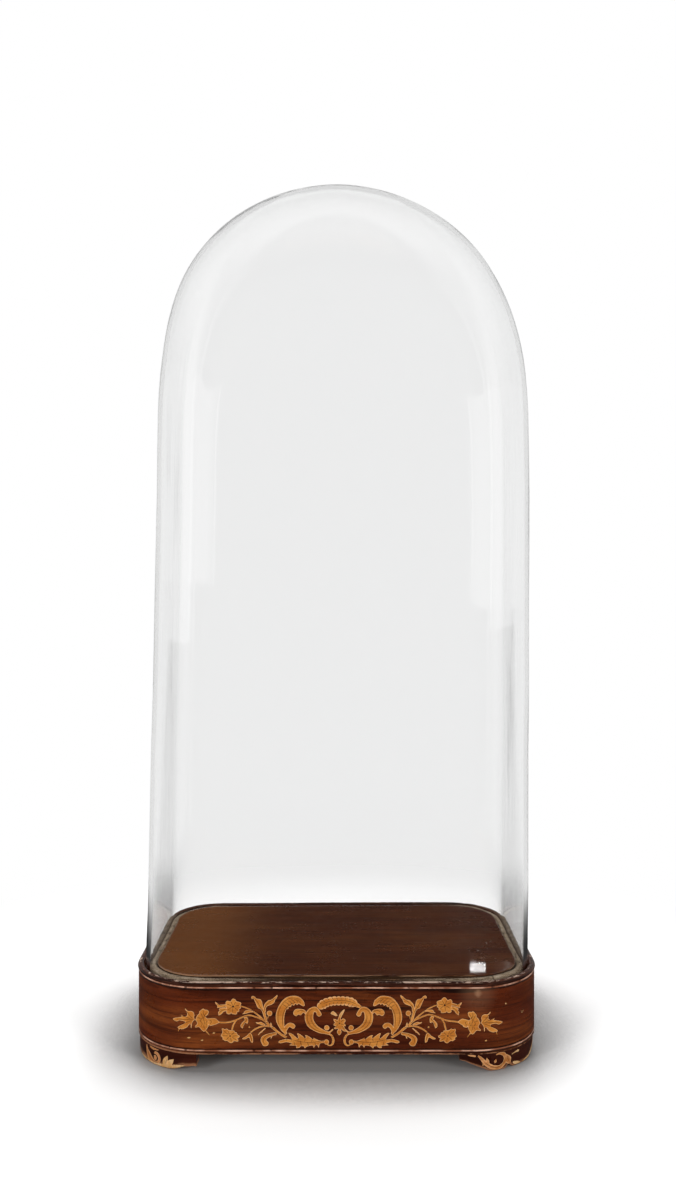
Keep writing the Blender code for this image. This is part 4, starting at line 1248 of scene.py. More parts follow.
class DOME_OT_stage(bpy.types.Operator):
    """Make the camera, the floor, the lamps and the surroundings"""

    bl_idname = "dome.stage"
    bl_label = "Stage"

    FLOOR_REACH = 12.0
    FILM_GAP = 0.0003
    WHITE = (1.0, 1.0, 1.0)
    # Distances from the middle at which the floor turns into plain white, and bright in reflections.
    FADE = (0.27, 0.5)
    SHEEN_FADE = (0.3, 0.55)
    # From front to back, where the mirrored floor goes from the room's brightness to the backdrop's.
    FRONT_FLOOR = (-0.15, 0.35)
    # How open the floor has to be for its contact shadow to begin and to end, and how far it looks.
    OPEN = (0.6, 0.86)
    CLOSE_BY = 0.13
    # Cosines between which the walls grow dull behind the camera, and sines between which the ceiling begins.
    BEHIND_CAMERA = (0.5, 0.9)
    CEILING = (0.6, 0.95)

    # Each lamp: its place, its size and its power. All of them point at the same place.
    LAMPS = {
        "top_lamp": ((0.0, 0.55, 1.9), 2.0, 25.0),
        "left_lamp": ((-1.45, -1.6, 0.7), 0.9, 24.0),
        "right_lamp": ((1.55, -1.5, 0.7), 0.9, 20.0),
        "back_lamp": ((0.5, 2.0, 1.0), 1.0, 12.0),
    }
    LAMPS_POINT_AT = (0.0, 0.0, 0.1)
    # Each light in the mirrored room: its direction from +X and half its width in degrees, the sines of its
    # lowest and highest elevation, and its strength. LATTICE is mirrored by the platform alone.
    WINDOWS = (
        (-52.0, 1.2, -0.05, 0.3, 1.3),
        (-135.0, 1.2, -0.05, 0.3, 1.3),
        (90.0, 60.0, 0.8, 0.9, 0.9),
    )
    LATTICE = (81.4, 1.0, 0.3249, 0.3309, 24.0)

    def execute(self, context):
        stage = context.scene.dome_stage
        context.scene.view_settings.view_transform = "Standard"
        self.make_camera(context, stage)
        self.make_world(context, stage)
        self.make_floor()
        self.make_film()
        for name, lamp in self.LAMPS.items():
            self.make_lamp(name, *lamp)
        return {"FINISHED"}

    def make_camera(self, context, stage):
        data = bpy.data.cameras.new("camera")
        data.lens = stage.lens
        data.shift_x, data.shift_y = stage.shift_x, stage.shift_y
        camera = linked("camera", data)
        camera.location = (0.0, -(HALF_DEPTH + stage.distance), stage.height)
        camera.rotation_euler = (QUARTER_TURN, 0.0, 0.0)
        context.scene.camera = camera

    def make_world(self, context, stage):
        """White behind the object, an even light on it, and a room in reflections."""
        world = bpy.data.worlds.new("surroundings")
        context.scene.world = world
        world.use_nodes = True
        world.node_tree.nodes.clear()
        world.cycles.sampling_method = "NONE"
        g = Graph(world.node_tree)
        seen = g.blend(g.after("Glossy"), 1.0, self.room(g, stage, g.after("Transparent", 1.5)))
        light = g.out("Background", {"Color": g.grey(g.blend(g.after("Diffuse"), seen, stage.ambient))})
        g.feed(g.add("OutputWorld").inputs["Surface"], light)

    def room(self, g, stage, platform):
        """Pale walls under a dim ceiling, duller behind the camera. The platform mirrors a dark room."""
        way = g.place("Generated")
        height = g.parts(way)[2]
        level = g.maths("MAXIMUM", g.maths("SQRT", g.minus(1.0, g.times(height, height))), 0.001)

        def towards(turn):
            aim = (math.cos(math.radians(turn)), math.sin(math.radians(turn)), 0.0)
            return g.maths("DIVIDE", g.vectors("DOT_PRODUCT", way, aim)["Value"], level)

        def window(light, turn, half_turn, low, high, strength):
            near, far = (math.cos(math.radians(half_turn * part)) for part in (0.8, 1.2))
            edge = (high - low) * 0.2
            tall = g.times(g.ramp(height, low - edge, low + edge), g.ramp(height, high + edge, high - edge))
            return g.blend(g.times(g.ramp(towards(turn), far, near), tall), light, strength)

        walls = g.ramp(towards(-90.0), *self.BEHIND_CAMERA, stage.backdrop, stage.room)
        light = g.blend(g.ramp(height, *self.CEILING), walls, stage.ceiling)
        for settings in self.WINDOWS:
            light = window(light, *settings)
        return g.blend(platform, light, window(stage.dim, *self.LATTICE))

    def make_floor(self):
        bm = bmesh.new()
        bmesh.ops.create_circle(bm, cap_ends=True, segments=96, radius=self.FLOOR_REACH)
        mesh = bpy.data.meshes.new("floor")
        bm.to_mesh(mesh)
        bm.free()
        mesh.materials.append(new_material("floor", self.floor_shader))
        floor = linked("floor", mesh)

    def floor_shader(self, g):
        """White to the camera where nothing is near, with a painted contact shadow that darkens it close to
        the base. In reflections it is dim close to the base.
        """
        stage = bpy.context.scene.dome_stage
        at = g.place("Object")
        lit = g.after("Diffuse")
        away = g.distance(at)
        # Painted contact shadow: ambient occlusion darkens the floor's colour near the base.
        open_share = g.out("AmbientOcclusion", {"Distance": self.CLOSE_BY}, samples=12, result="AO")
        whole = g.times(g.ramp(open_share, *self.OPEN, stage.contact, 1.0), stage.white)
        paint = g.out("BsdfDiffuse", {"Color": g.grey(g.blend(lit, whole, stage.floor))})
        white = g.out("Emission", {"Color": self.WHITE})
        plain = g.times(g.ramp(away, *self.FADE), g.minus(1.0, lit))
        far = g.ramp(g.parts(at)[1], *self.FRONT_FLOOR, stage.room, stage.backdrop)
        sheen = g.blend(g.ramp(away, *self.SHEEN_FADE), stage.dim, far)
        shine = g.out("Emission", {"Color": self.WHITE, "Strength": sheen})
        shown = g.mix_shaders(g.after("Glossy"), g.mix_shaders(plain, paint, white), shine)
        return g.mix_shaders(g.out("NewGeometry", result="Backfacing"), shown, g.out("BsdfTransparent"))

    def make_film(self):
        """A clear film over the platform. It tells what the platform mirrors from what the glass mirrors."""
        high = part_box("platform_veneer")[1]
        s = np.linspace(0, PERIMETER, 120, endpoint=False)
        points = outline_points(s, HALF_WIDTH - high.x, high.z + self.FILM_GAP)
        mesh = bpy.data.meshes.new("platform_film")
        mesh.from_pydata(points.tolist(), [], [range(len(s))])
        mesh.materials.append(new_material("clear_film", lambda g: g.out("BsdfTransparent")))
        film = linked("platform_film", mesh)

    def make_lamp(self, name, where, size, power):
        data = bpy.data.lights.new(name, "AREA")
        data.shape = "DISK"
        data.size = size
        data.energy = power
        lamp = linked(name, data)
        lamp.location = where
        beam = Vector(self.LAMPS_POINT_AT) - lamp.location
        lamp.rotation_euler = beam.to_track_quat("-Z", "Y").to_euler()
        lamp.visible_camera = False
        lamp.visible_glossy = False
        lamp.visible_transmission = False


class DOME_OT_glass(bpy.types.Operator):
    """Make the blown glass dome"""

    bl_idname = "dome.glass"
    bl_label = "Glass dome"

    WALL_HEIGHT = 0.3975
    TAPER = 0.0034
    FRONT_EXPONENT = 3.6
    FRONT_ROUNDNESS = 1.8
    SIDE_EXPONENT = 5.0
    OVAL_EXPONENT = 2.0
    WALL_STEPS = 26
    CROWN_STEPS = 44
    # Steps round each corner, along each of the narrow sides, and along the front and the back.
    STEPS = {"corner": 20, "left": 12, "right": 12, "front": 24, "back": 24}
    STEADY_HEIGHT = 0.03
    # Extra rings just over the lip, so that its rounding doesn't bend the shading of the wall.
    ABOVE_LIP = (0.0003, 0.0009, 0.0025)
    # The blown shade leans a little to its right: height above its foot and sideways reach, in mm.
    LEAN_MM = ((0, 0), (33, 0.8), (53, 1.4), (92, 1.7), (170, 2.5), (209, 3.4), (287, 4.1), (365, 5.2),
               (443, 5.1), (479, 5.0), (511, 3.8), (544, 2.2), (578, 1.4), (612, 0.2), (627, 0))

    def execute(self, context):
        glass = context.scene.dome_glass
        outside = self.skin(glass.lip)
        normals = self.normals(outside)
        inside = outside - normals * glass.wall
        steady = np.clip((outside[..., 2] - self.bottom) / self.STEADY_HEIGHT, 0, 1)[..., None]
        for skin, seed in ((outside, 1), (inside, 2)):
            drift = wobble(skin, 9.0, seed) + 0.35 * wobble(skin, 26.0, seed + 5)
            skin += normals * steady * (drift[..., None] - 1.2) * glass.ripple
        inside[..., 2] = np.maximum(inside[..., 2], self.bottom + glass.lip)
        rows = np.concatenate([inside[::-1], self.lip(outside[0], glass), outside])
        count, columns = rows.shape[:2]
        us = np.linspace(0, self.around, columns + 1)
        faces, uvs = sleeve(rows, np.linspace(0, 1, count), us)
        crowns = [[0, 0, skin[-1, :, 2].mean()] for skin in (inside, outside)]
        for ring, top in ((0, count * columns), (count - 1, count * columns + 1)):
            for j in range(columns):
                faces.append([ring * columns + j, ring * columns + (j + 1) % columns, top])
                uvs += [[0.0, us[j]], [0.0, us[j + 1]], [0.0, us[j]]]
        points = np.concatenate([rows.reshape(-1, 3), crowns])
        dome = mesh_object("blown_dome", points, faces, uvs, [blown_glass()], sharp=80.0)
        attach(dome, "dome")
        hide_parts("glass_dome")
        return {"FINISHED"}

    def skin(self, lip):
        """Rings of the outer skin, the foot first."""
        low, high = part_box("glass_dome")
        self.bottom = low.z
        half_width, half_depth = high.x, high.y
        height = high.z - low.z
        self.around = math.tau * (half_width - SPINE_X) + 4 * (SPINE_X + SPINE_Y)
        s = [
            side_start(place) + side_length(place) * np.arange(steps) / steps
            for corner, side in zip(CORNERS, ("right", "back", "left", "front"))
            for place, steps in ((corner, self.STEPS["corner"]), (side, self.STEPS[side]))
        ]
        x, y = plan(np.concatenate(s), HALF_WIDTH - half_width)
        x, y = x / half_width, y / half_depth
        rings = []
        levels = [lip + (self.WALL_HEIGHT - lip) * i / self.WALL_STEPS for i in range(self.WALL_STEPS)]
        for up in sorted(levels + [lip + above for above in self.ABOVE_LIP]):
            taper = self.TAPER * up / self.WALL_HEIGHT
            rings.append((up, half_width - taper, half_depth - taper, 0.0))
        for i in range(self.CROWN_STEPS):
            rise = math.sin(QUARTER_TURN * i / self.CROWN_STEPS) ** (2 / self.FRONT_EXPONENT)
            width = (half_width - self.TAPER) * (1 - rise**self.FRONT_EXPONENT) ** (1 / self.FRONT_ROUNDNESS)
            depth = (half_depth - self.TAPER) * math.sqrt(1 - rise**self.SIDE_EXPONENT)
            rings.append((self.WALL_HEIGHT + (height - self.WALL_HEIGHT) * rise, width, depth, rise))
        made = []
        for up, width, depth, rise in rings:
            oval = rise**self.OVAL_EXPONENT
            drawn_in = 1 - oval + oval / np.hypot(x, y)
            lean = np.interp(up / MM, *np.array(self.LEAN_MM).T) * MM
            places = (x * width * drawn_in + lean, y * depth * drawn_in, np.full_like(x, self.bottom + up))
            made.append(np.stack(places, axis=1))
        return np.array(made)

    def normals(self, skin):
        around = np.roll(skin, -1, axis=1) - np.roll(skin, 1, axis=1)
        out = np.cross(around, np.gradient(skin, axis=0))
        return out / np.linalg.norm(out, axis=-1, keepdims=True)

    def lip(self, foot, glass):
        """The ground foot between the inner and the outer skin, with both edges rounded."""
        out = self.normals(np.stack([foot, foot + [0, 0, 0.001]]))[0]
        radius, eased = glass.lip, glass.lip * 0.3
        rows = []
        for inset, up in ((glass.wall - eased, eased), (glass.wall - radius, 0), (radius, 0), (eased, eased)):
            row = foot - out * inset
            row[:, 2] = self.bottom + up
            rows.append(row)
        return np.array(rows)


class DOME_OT_cord(bpy.types.Operator):
    """Make the chenille cord round the foot of the glass"""

    bl_idname = "dome.cord"
    bl_label = "Seal cord"

    SIDES = 18
    JOINT_S = SPINE_X + CORNER_RADIUS * math.radians(21.3)
    JOINT_GAP = 0.0014
    SLACK = 0.00055
    FIBRE_SEED = 11
    FIBRE_HALF = 0.00005
    STRANDS = 3
    # How fast the strands wind, in radians for each metre.
    TWIST = 2400.0
    # At the corners, from an X on, the cord bulges and sits further in.
    BULGE = 0.3
    BULGE_INSET = 0.00035
    BULGE_FROM, BULGE_GROWS = 0.085, 0.03
    # In the middle of the front and of the back it is worn thin, out to an X.
    WORN = 0.16
    WORN_REACH = 0.075

    def execute(self, context):
        cord = context.scene.dome_cord
        low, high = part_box("seal_cord")
        self.radius = (high.z - low.z) / 2
        self.middle = (high.z + low.z) / 2
        self.inset = HALF_WIDTH - high.x + self.radius
        start = self.JOINT_S + self.JOINT_GAP / 2
        s = np.linspace(start, start + PERIMETER - self.JOINT_GAP, int(PERIMETER / cord.step))
        turn = np.linspace(0, math.tau, self.SIDES, endpoint=False)
        along, round_it = np.meshgrid(s, turn, indexing="ij")
        points = self.surface(along, round_it)
        us, vs = s - start, np.linspace(0, math.tau * self.radius, self.SIDES + 1)
        faces, uvs = sleeve(points, us, vs, ends=plain_ends(us, self.SIDES))
        points = points.reshape(-1, 3).tolist()
        self.add_fibres(cord, s, points, faces, uvs)
        piece = mesh_object("chenille_cord", points, faces, uvs, [chenille()], sharp=75.0)
        ride_base(piece, "chenille", "seal_cord")
        return {"FINISHED"}

    def surface(self, s, turn, extra=0.0):
        """Points on the cord, which is rubbed flat in places and sinks between the glass and the platform."""
        slow = along_wobble(s[:, :1], 38.0, 3)
        squeeze = along_wobble(s[:, :1], 90.0, 4)
        twist = np.sin(self.STRANDS * turn + s * self.TWIST)
        from_middle = np.abs(plan(s[:, :1], 0.0)[0])
        corner = np.clip((from_middle - self.BULGE_FROM) / self.BULGE_GROWS, 0, 1)
        worn = np.clip(1 - from_middle / self.WORN_REACH, 0, 1)
        ring = np.stack([np.cos(turn) * 0.004, np.sin(turn) * 0.004, s], axis=-1)
        tufts = wobble(ring, 900.0, 6)
        swell = 0.9 + self.BULGE * corner - self.WORN * worn
        radius = self.radius * (swell + 0.055 * twist + 0.07 * tufts + 0.04 * squeeze) + extra
        sag = 0.00045 * np.clip(0.6 - slow, 0, 1.4) + 0.0004 * worn
        inset = self.inset + self.BULGE_INSET * corner + np.cos(turn) * radius + self.SLACK * slow * 0.3
        z = self.middle - sag + np.sin(turn) * radius * (0.94 + 0.06 * squeeze)
        return outline_points(s, inset, np.maximum(z, self.middle - self.radius))

    def add_fibres(self, cord, s, points, faces, uvs):
        """Short fibres that stand on the upper side, each a thin three-sided spike."""
        chance = random.Random(self.FIBRE_SEED)
        ranges = ((s[0] + 0.001, s[-1] - 0.001), (0.1, math.pi - 0.1), (-0.5, 0.5), (0.35, 1.0))
        draws = [[chance.uniform(*limits) for _ in range(cord.fibres)] for limits in ranges]
        at, turn, lean, tall = np.array(draws)[..., None]
        lean, tall = lean * cord.pile, tall * cord.pile
        half = self.FIBRE_HALF / self.radius
        feet = ((-1, -1), (1, -1), (0, 1.4))
        spikes = [self.surface(at + du * self.FIBRE_HALF, turn + dv * half, -0.0001) for du, dv in feet]
        spikes = np.concatenate([*spikes, self.surface(at + lean, turn, tall * 0.7)], axis=1)
        for k, spike in enumerate(spikes):
            first = len(points)
            points += spike.tolist()
            for face in ((0, 1, 2), (0, 1, 3), (1, 2, 3), (2, 0, 3)):
                faces.append([first + corner for corner in face])
                uvs += [[at[k, 0], 0.0]] * 3


class DOME_OT_bead(bpy.types.Operator):
    """Make the ebonised bead in its eight lengths"""

    bl_idname = "dome.bead"
    bl_label = "Bead"

    JOINT = 0.0001
    STEP = 0.0008
    # How far down from the crest its bruises reach.
    BRUISED = 0.0034

    def execute(self, context):
        finish = ebonised()
        for place_name in SIDES + CORNERS:
            start = side_start(place_name) + self.JOINT / 2
            run = side_length(place_name) - self.JOINT
            node = f"{place_name}_bead"
            piece = sweep(f"{node}_turned", bead_section(), start, run, finish, self.STEP, self.dented)
            ride_base(piece, "ebonised_wood", node)
        return {"FINISHED"}

    def dented(self, s, inset, z, v):
        """Small bruises and chips along the crest."""
        wood = bpy.context.scene.dome_wood
        crest = np.clip(1 - np.abs(v - BEAD_CREST_V) / self.BRUISED, 0, 1)
        slow = along_wobble(s[:, :1], 130.0, 21)
        fine = wobble(np.stack([s, v * 1.4, np.zeros_like(s)], axis=-1), 700.0, 22)
        chip = np.clip(fine * 1.6 + slow * 0.7 - 0.25, 0, 1)
        return inset, z - crest * chip * wood.bead_chip - crest * np.clip(slow, 0, 1) * 0.00012


class DOME_OT_veneer(bpy.types.Operator):
    """Make the two sheets of rosewood veneer"""

    bl_idname = "dome.veneer"
    bl_label = "Veneer"

    BUTT = 0.0001
    EASED = 0.00015
    STEP = 0.002
    # Places on the front sheet, from the middle of the front and from the foot of the sheet.
    # The first place is where a highlight is painted.
    HIGHLIGHT_SPOT = (0.1045, 0.0417)
    BLACK_STREAK = (0.0905, 0.0434)

    def execute(self, context):
        low, high = FACE_LOW.z, FACE_HIGH.z
        section = [(self.EASED, low), (0.0, low + self.EASED)]
        section += [(0.0, low + (high - low) * k / 6) for k in range(1, 6)]
        section += [(0.0, high - self.EASED), (self.EASED, high), (VENEER, high), (VENEER, low)]
        finish = rosewood("rosewood_face", finish_off=self.edges_and_highlight)
        run = PERIMETER / 2 - self.BUTT
        for name, start in (("front", -PERIMETER / 4), ("back", PERIMETER / 4)):
            piece = sweep(f"{name}_veneer_sheet", section, start + self.BUTT / 2, run, finish, self.STEP)
            ride_base(piece, "rosewood", f"{name}_veneer")
        return {"FINISHED"}

    def edges_and_highlight(self, g, at, base):
        """Dark glue along both edges, and at the right one pale patch in the polish: a painted highlight."""
        wood = bpy.context.scene.dome_wood
        along, up, _ = g.parts(at)
        tall = FACE_HIGH.z - FACE_LOW.z
        stained = g.ramp(g.noise(at, (16.0, 60.0, 1.0), detail=3.0), 0.42, 0.62)
        stained = g.times(stained, g.ramp(up, tall * 0.62, tall * 0.95))
        middle = g.ramp(g.off(along), 0.085, 0.045)
        bars = g.noise(at, (9.0, 260.0, 1.0), detail=4.0, rough=0.6, twist=0.4)
        streak = g.stretch(g.vectors("SUBTRACT", at, (*self.BLACK_STREAK, 0.0))[0], (66.0, 620.0, 0.0))
        streak = g.plus(g.distance(streak), g.noise(at, (90.0, 900.0, 1.0), detail=3.0))
        near = g.maths("MINIMUM", up, g.minus(tall, up))
        frayed = g.times(g.noise(at, (130.0, 40.0, 1.0), detail=3.0), 0.0022)
        away = g.distance(at, (*self.HIGHLIGHT_SPOT, 0.0))
        ragged = g.times(g.noise(at, (300.0, 900.0, 1.0), detail=3.0), 0.004)
        return g.paint(
            base,
            (wood.dark, stained, 0.6),
            (wood.dark, middle, 0.3),
            (wood.ink, g.times(middle, g.ramp(bars, 0.56, 0.62)), 0.8),
            (wood.ink, g.ramp(streak, 1.65, 1.2), 0.9),
            (wood.ink, g.ramp(g.minus(near, frayed), 0.0006, -0.0006), 0.8),
            # Painted highlight: a pale patch near the top of the front, at the right.
            (wood.bare, g.ramp(away, 0.018, 0.003), 0.13),
            (wood.bare, g.ramp(g.plus(away, ragged), 0.0058, 0.0022), 0.42),
        )


class DOME_OT_bands(bpy.types.Operator):
    """Make the pale lines and the band at the bottom of the face"""

    bl_idname = "dome.bands"
    bl_label = "Bands"

    STEP = 0.0015
    JOINT = 0.0009
    LINE_EASE, BAND_EASE = 0.00025, 0.0004
    # Where the joint of each line is, and the seed of its unevenness.
    LINES = {"upper": (-0.0476, 31), "lower": (0.31, 37)}

    def execute(self, context):
        pale = boxwood()
        for name, (joint, seed) in self.LINES.items():

            def uneven(s, inset, z, v, seed=seed):
                slow, fine = along_wobble(s[:, :1], 30.0, seed), along_wobble(s[:, :1], 160.0, seed + 1)
                return inset, z + 0.00016 * slow + 0.00006 * fine

            start, run = joint + self.JOINT / 2, PERIMETER - self.JOINT
            section = self.strip(f"{name}_stringing", self.LINE_EASE)
            line = sweep(f"{name}_line", section, start, run, pale, self.STEP, uneven)
            ride_base(line, "boxwood", f"{name}_stringing")
        wood = rosewood("rosewood_band", figure=1.2, finish_off=self.worn_at_the_left)
        section = self.strip("lower_edge_band", self.BAND_EASE)
        band = sweep("edge_band", section, 0.0, PERIMETER, wood, self.STEP, self.knocked)
        ride_base(band, "rosewood", "lower_edge_band")
        return {"FINISHED"}

    def worn_at_the_left(self, g, at, base):
        """The band has darkened all round, and is rubbed bare at the front left corner."""
        corner = PERIMETER - SPINE_X - QUARTER_ARC * 0.4
        near = g.ramp(g.off(g.parts(at)[0], corner), 0.042, 0.024)
        base = g.mix(g.blend(near, 0.6, 0.2), base, bpy.context.scene.dome_wood.ink)
        return rubbed_edge(0.003, 0.0016, g.blend(near, 0.35, 0.95))(g, at, base)

    def strip(self, node, ease):
        """Section of a strip whose outer edges are eased."""
        low, high = (corner.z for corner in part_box(node))
        slight = ease * 0.3
        return [(VENEER, low), (ease, low), (slight, low + slight), (0.0, low + ease), (0.0, high - slight),
                (slight, high), (VENEER, high)]

    def knocked(self, s, inset, z, v):
        """The lower edge of the band is bruised."""
        edge = np.clip(1 - (z - z.min()) / 0.0009, 0, 1) * np.clip(1 - inset / 0.0006, 0, 1)
        hits = np.clip(along_wobble(s[:, :1], 210.0, 41) * 1.6 - 0.3, 0, 1)
        return inset + edge * hits * 0.0004, z + edge * hits * 0.0003


class DOME_OT_marquetry(bpy.types.Operator):
    """Lay the scrolls, leaves and flowers into the front of the veneer"""

    bl_idname = "dome.marquetry"
    bl_label = "Marquetry"

    # Old nicks, filled with pale wax: place along the face, height over its middle and half the length.
    NICKS_MM = ((-109.2, -13.7, 1.3), (-99.3, -15.3, 0.9), (-90.6, -10, 0.9), (-64.4, -5.6, 0.7),
                (127, 9.5, 0.6), (110.6, -15.9, 0.8))
    # A bent scratch at the right, filled in the same way: place, height and width.
    SCRATCH_MM = ((141, 0.8, 0.15), (142.6, -1.2, 0.35), (144.4, 1, 0.15))

    def execute(self, context):
        offset = context.scene.dome_inlay.offset
        pale = inlaid_wood("pale_inlay", srgb(236, 204, 150), srgb(206, 160, 100))
        woods = [inlaid_wood(), glue_joint(), pale]
        for name, side in (("left", -1), ("right", 1)):
            half = Inlay(offset, FACE_MIDDLE, side=side, warp=self.hand_cut)
            for lay in HALF_PATTERN:
                lay(half)
            ride_base(half.build(f"{name}_marquetry", woods), "boxwood")
        middle = Inlay(offset, FACE_MIDDLE)
        middle_pattern(middle)
        for x, h, wide in self.NICKS_MM:
            x -= offset / MM
            middle.ribbon([(x - wide, h - 0.2, 0.3), (x, h, 1.0), (x + wide, h + 0.1, 0.4)], wood=middle.PALE)
        middle.ribbon(self.SCRATCH_MM, wood=middle.PALE)
        ride_base(middle.build("middle_marquetry", woods), "boxwood")
        return {"FINISHED"}

    def hand_cut(self, x, h, side):
        """The two halves were cut by hand from one drawing, so the right one droops a little at its end."""
        if side < 0:
            return x, h
        droop = np.clip((x - 84.0) / 20.0, 0, 1)
        lift = np.clip((x - 60.0) / 15.0, 0, 1) * (1 - droop)
        return x - 1.6 * droop, h - 2.6 * droop + 1.0 * lift * (h > -4.0)


class DOME_OT_feet(bpy.types.Operator):
    """Make the four bracket feet and the inlay on the front two"""

    bl_idname = "dome.feet"
    bl_label = "Feet"

    THICKNESS = 0.012
    INSET = 0.001
    OVERRUN = 0.010
    CONTACT_ANGLE = math.radians(53.0)
    END_HEIGHT = 0.0046
    CYMAS = 2
    STEP = 0.0007

    # Undersides that are worn or broken out of their first shape: s and height, in mm.
    WORN_MM = {
        "front_right": (
            ((91, 8.8), (95, 8.2), (99.9, 5.9), (105.2, 3.9), (110, 2), (114, 0.3), (118, 0)),
            ((149, 0), (152, 0.2), (158, 0.6), (163, 3), (167.6, 5.4), (171.7, 9), (176, 10.4), (180, 10.8),
             (184, 10), (188, 8.6)),
        ),
        "front_left": (
            ((-195.8, 5), (-190, 3), (-184, 0.8), (-178, 0.1), (-168, 0)),
            ((-128, 0), (-124, 0.2), (-119, 1.6), (-114.9, 2.7), (-109, 3), (-105.4, 3.7), (-98, 3.9)),
        ),
    }
    # Length lost from the inner end of the front left foot.
    BROKEN_OFF = 0.0128

    def execute(self, context):
        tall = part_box("front_left_foot")[1].z
        sound = self.wood("foot_wood", tall, 0.24, 0.06, 0.95)
        broken = self.wood("broken_foot_wood", tall, 0.36, 0.12, 1.4)
        for corner in CORNERS:
            self.corner = corner
            self.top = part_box(f"{corner}_foot")[1].z
            start = side_start(corner) - self.OVERRUN
            run = QUARTER_ARC + 2 * self.OVERRUN
            finish = sound
            if corner == "front_left":
                run -= self.BROKEN_OFF
                finish = broken
            piece = sweep(f"{corner}_bracket", self.section(), start, run, finish, self.STEP, self.shaped)
            ride_base(piece, "rosewood", f"{corner}_foot")
        pale, glue = inlaid_wood("pale_foot_inlay", srgb(240, 222, 176), srgb(208, 172, 116)), glue_joint()
        for name, side, sprig, light, shade in (
            ("right_foot_inlay", 1, self.right_sprig, srgb(214, 158, 114), srgb(150, 92, 56)),
            ("left_foot_inlay", -1, self.left_sprig, srgb(188, 128, 96), srgb(146, 92, 64)),
        ):
            inlay = Inlay(0.0, 0.0, self.INSET, side=side)
            sprig(inlay)
            ride_base(inlay.build(name, [inlaid_wood(name, light, shade), glue, pale]), "boxwood")
        return {"FINISHED"}

    def wood(self, name, tall, whole, bare, amount):
        """Dark rosewood, rubbed between two shares of the foot's height."""
        tones = srgb(34, 11, 7), srgb(70, 29, 17)
        worn = rubbed_edge(whole * tall, bare * tall, amount, 420.0)
        return rosewood(name, figure=1.3, tones=tones, tall=tall, finish_off=worn, coat_rough=0.05)

    def section(self):
        """(inset, share of the height) round the foot, worked into heights by shaped."""
        outer = [(self.INSET, k / 8) for k in range(1, 9)]
        eased = [(self.INSET + 0.0006, 0.0), (self.INSET + 0.00015, 0.03)]
        inner = self.INSET + self.THICKNESS
        return [(inner, 0.0), *eased, *outer, (inner, 1.0)]

    def shaped(self, s, inset, share_up, v):
        """Lifts the underside in cymas towards both ends, and breaks its edges."""
        radius = CORNER_RADIUS - self.INSET
        middle = side_start(self.corner) + QUARTER_ARC / 2
        away = np.abs(s - middle)
        over = np.maximum(away - QUARTER_ARC / 2, 0)
        away = (away - over) * radius / CORNER_RADIUS + over
        contact = radius * self.CONTACT_ANGLE / 2
        end = radius * QUARTER_TURN / 2 + self.OVERRUN
        share_along = np.clip((away - contact) / (end - contact), 0, 1)
        whole = np.minimum(self.CYMAS - 1, np.floor(share_along * self.CYMAS))
        part = share_along * self.CYMAS - whole
        lift = (self.top - self.END_HEIGHT) * (whole + part * part * (3 - 2 * part)) / self.CYMAS
        for table in self.WORN_MM.get(self.corner, ()):
            at, height = np.array(table).T * MM
            lift = np.where((s > at[0]) & (s < at[-1]), np.interp(s, at, height), lift)
        bottom = lift + self.chips(s, inset, middle)
        return inset, bottom + share_up * (self.top - bottom)

    def chips(self, s, inset, middle):
        """Splinters lost from the lower edge, most of them near the face."""
        lost = np.clip(along_wobble(s, 420.0, 51) - 0.1, 0, 1) * 0.0012
        if self.corner == "front_left":
            lost += np.clip(along_wobble(s, 150.0, 53) + 0.3, 0, 1) * 0.0016
        if self.corner == "front_right":
            lost += np.clip(1 - np.abs(s - middle + 0.0125) / 0.0042, 0, 1) * 0.0034
        return lost * np.clip(1 - (inset - self.INSET) / 0.004, 0, 1)

    def right_sprig(self, inlay):
        inlay.ribbon(
            [(97.2, 12.6, 0.5), (100.4, 12.2, 1.2), (103, 11.8, 1)],
            [(104.8, 12.2, 0.9), (107.4, 9.8, 2.2), (110.4, 6.6, 3), (113.8, 4, 3.4), (118, 2.5, 3),
             (122.4, 2.3, 2.8), (126, 4.4, 2.8), (127.6, 8, 3.2), (126, 11, 2.8), (122.6, 12.2, 1.6),
             (119.2, 11.7, 0.8)],
        )
        inlay.leaf((113.0, 5.0), (111.4, 10.4), 2.4)
        inlay.leaf((110.0, 7.6), (108.2, 4.4), 1.6)
        inlay.cut([(108.6, 8.2), (115, 3.6), (120.6, 2.4), (125, 4.6), (127, 8.4)])
        inlay.leaf((118.0, 5.6), (119.2, 8.6), 2.0)
        inlay.leaf((128.8, 10.6), (132.2, 2.8), 5.8, bend=-0.06, full=0.5, vein=True)
        inlay.ribbon(
            [(133.6, 9.4, 0.5), (137.4, 10.2, 0.9), (140, 10.4, 1.6), (141.8, 10.2, 1)],
            [(134.8, 3.4, 0.8), (137, 2.4, 2.2), (140, 1.8, 2), (143, 1.2, 0.8)],
            wood=inlay.PALE,
        )
        inlay.ribbon(
            [(146, 0.8, 0.8), (151, 1.2, 1.4), (157, 1.9, 1.8), (162, 3.8, 1.9), (166.6, 6.2, 1.8),
             (170.4, 9.2, 1.4), (173, 11, 0.6)],
            wood=inlay.PALE, teeth=12, tooth=0.5,
        )

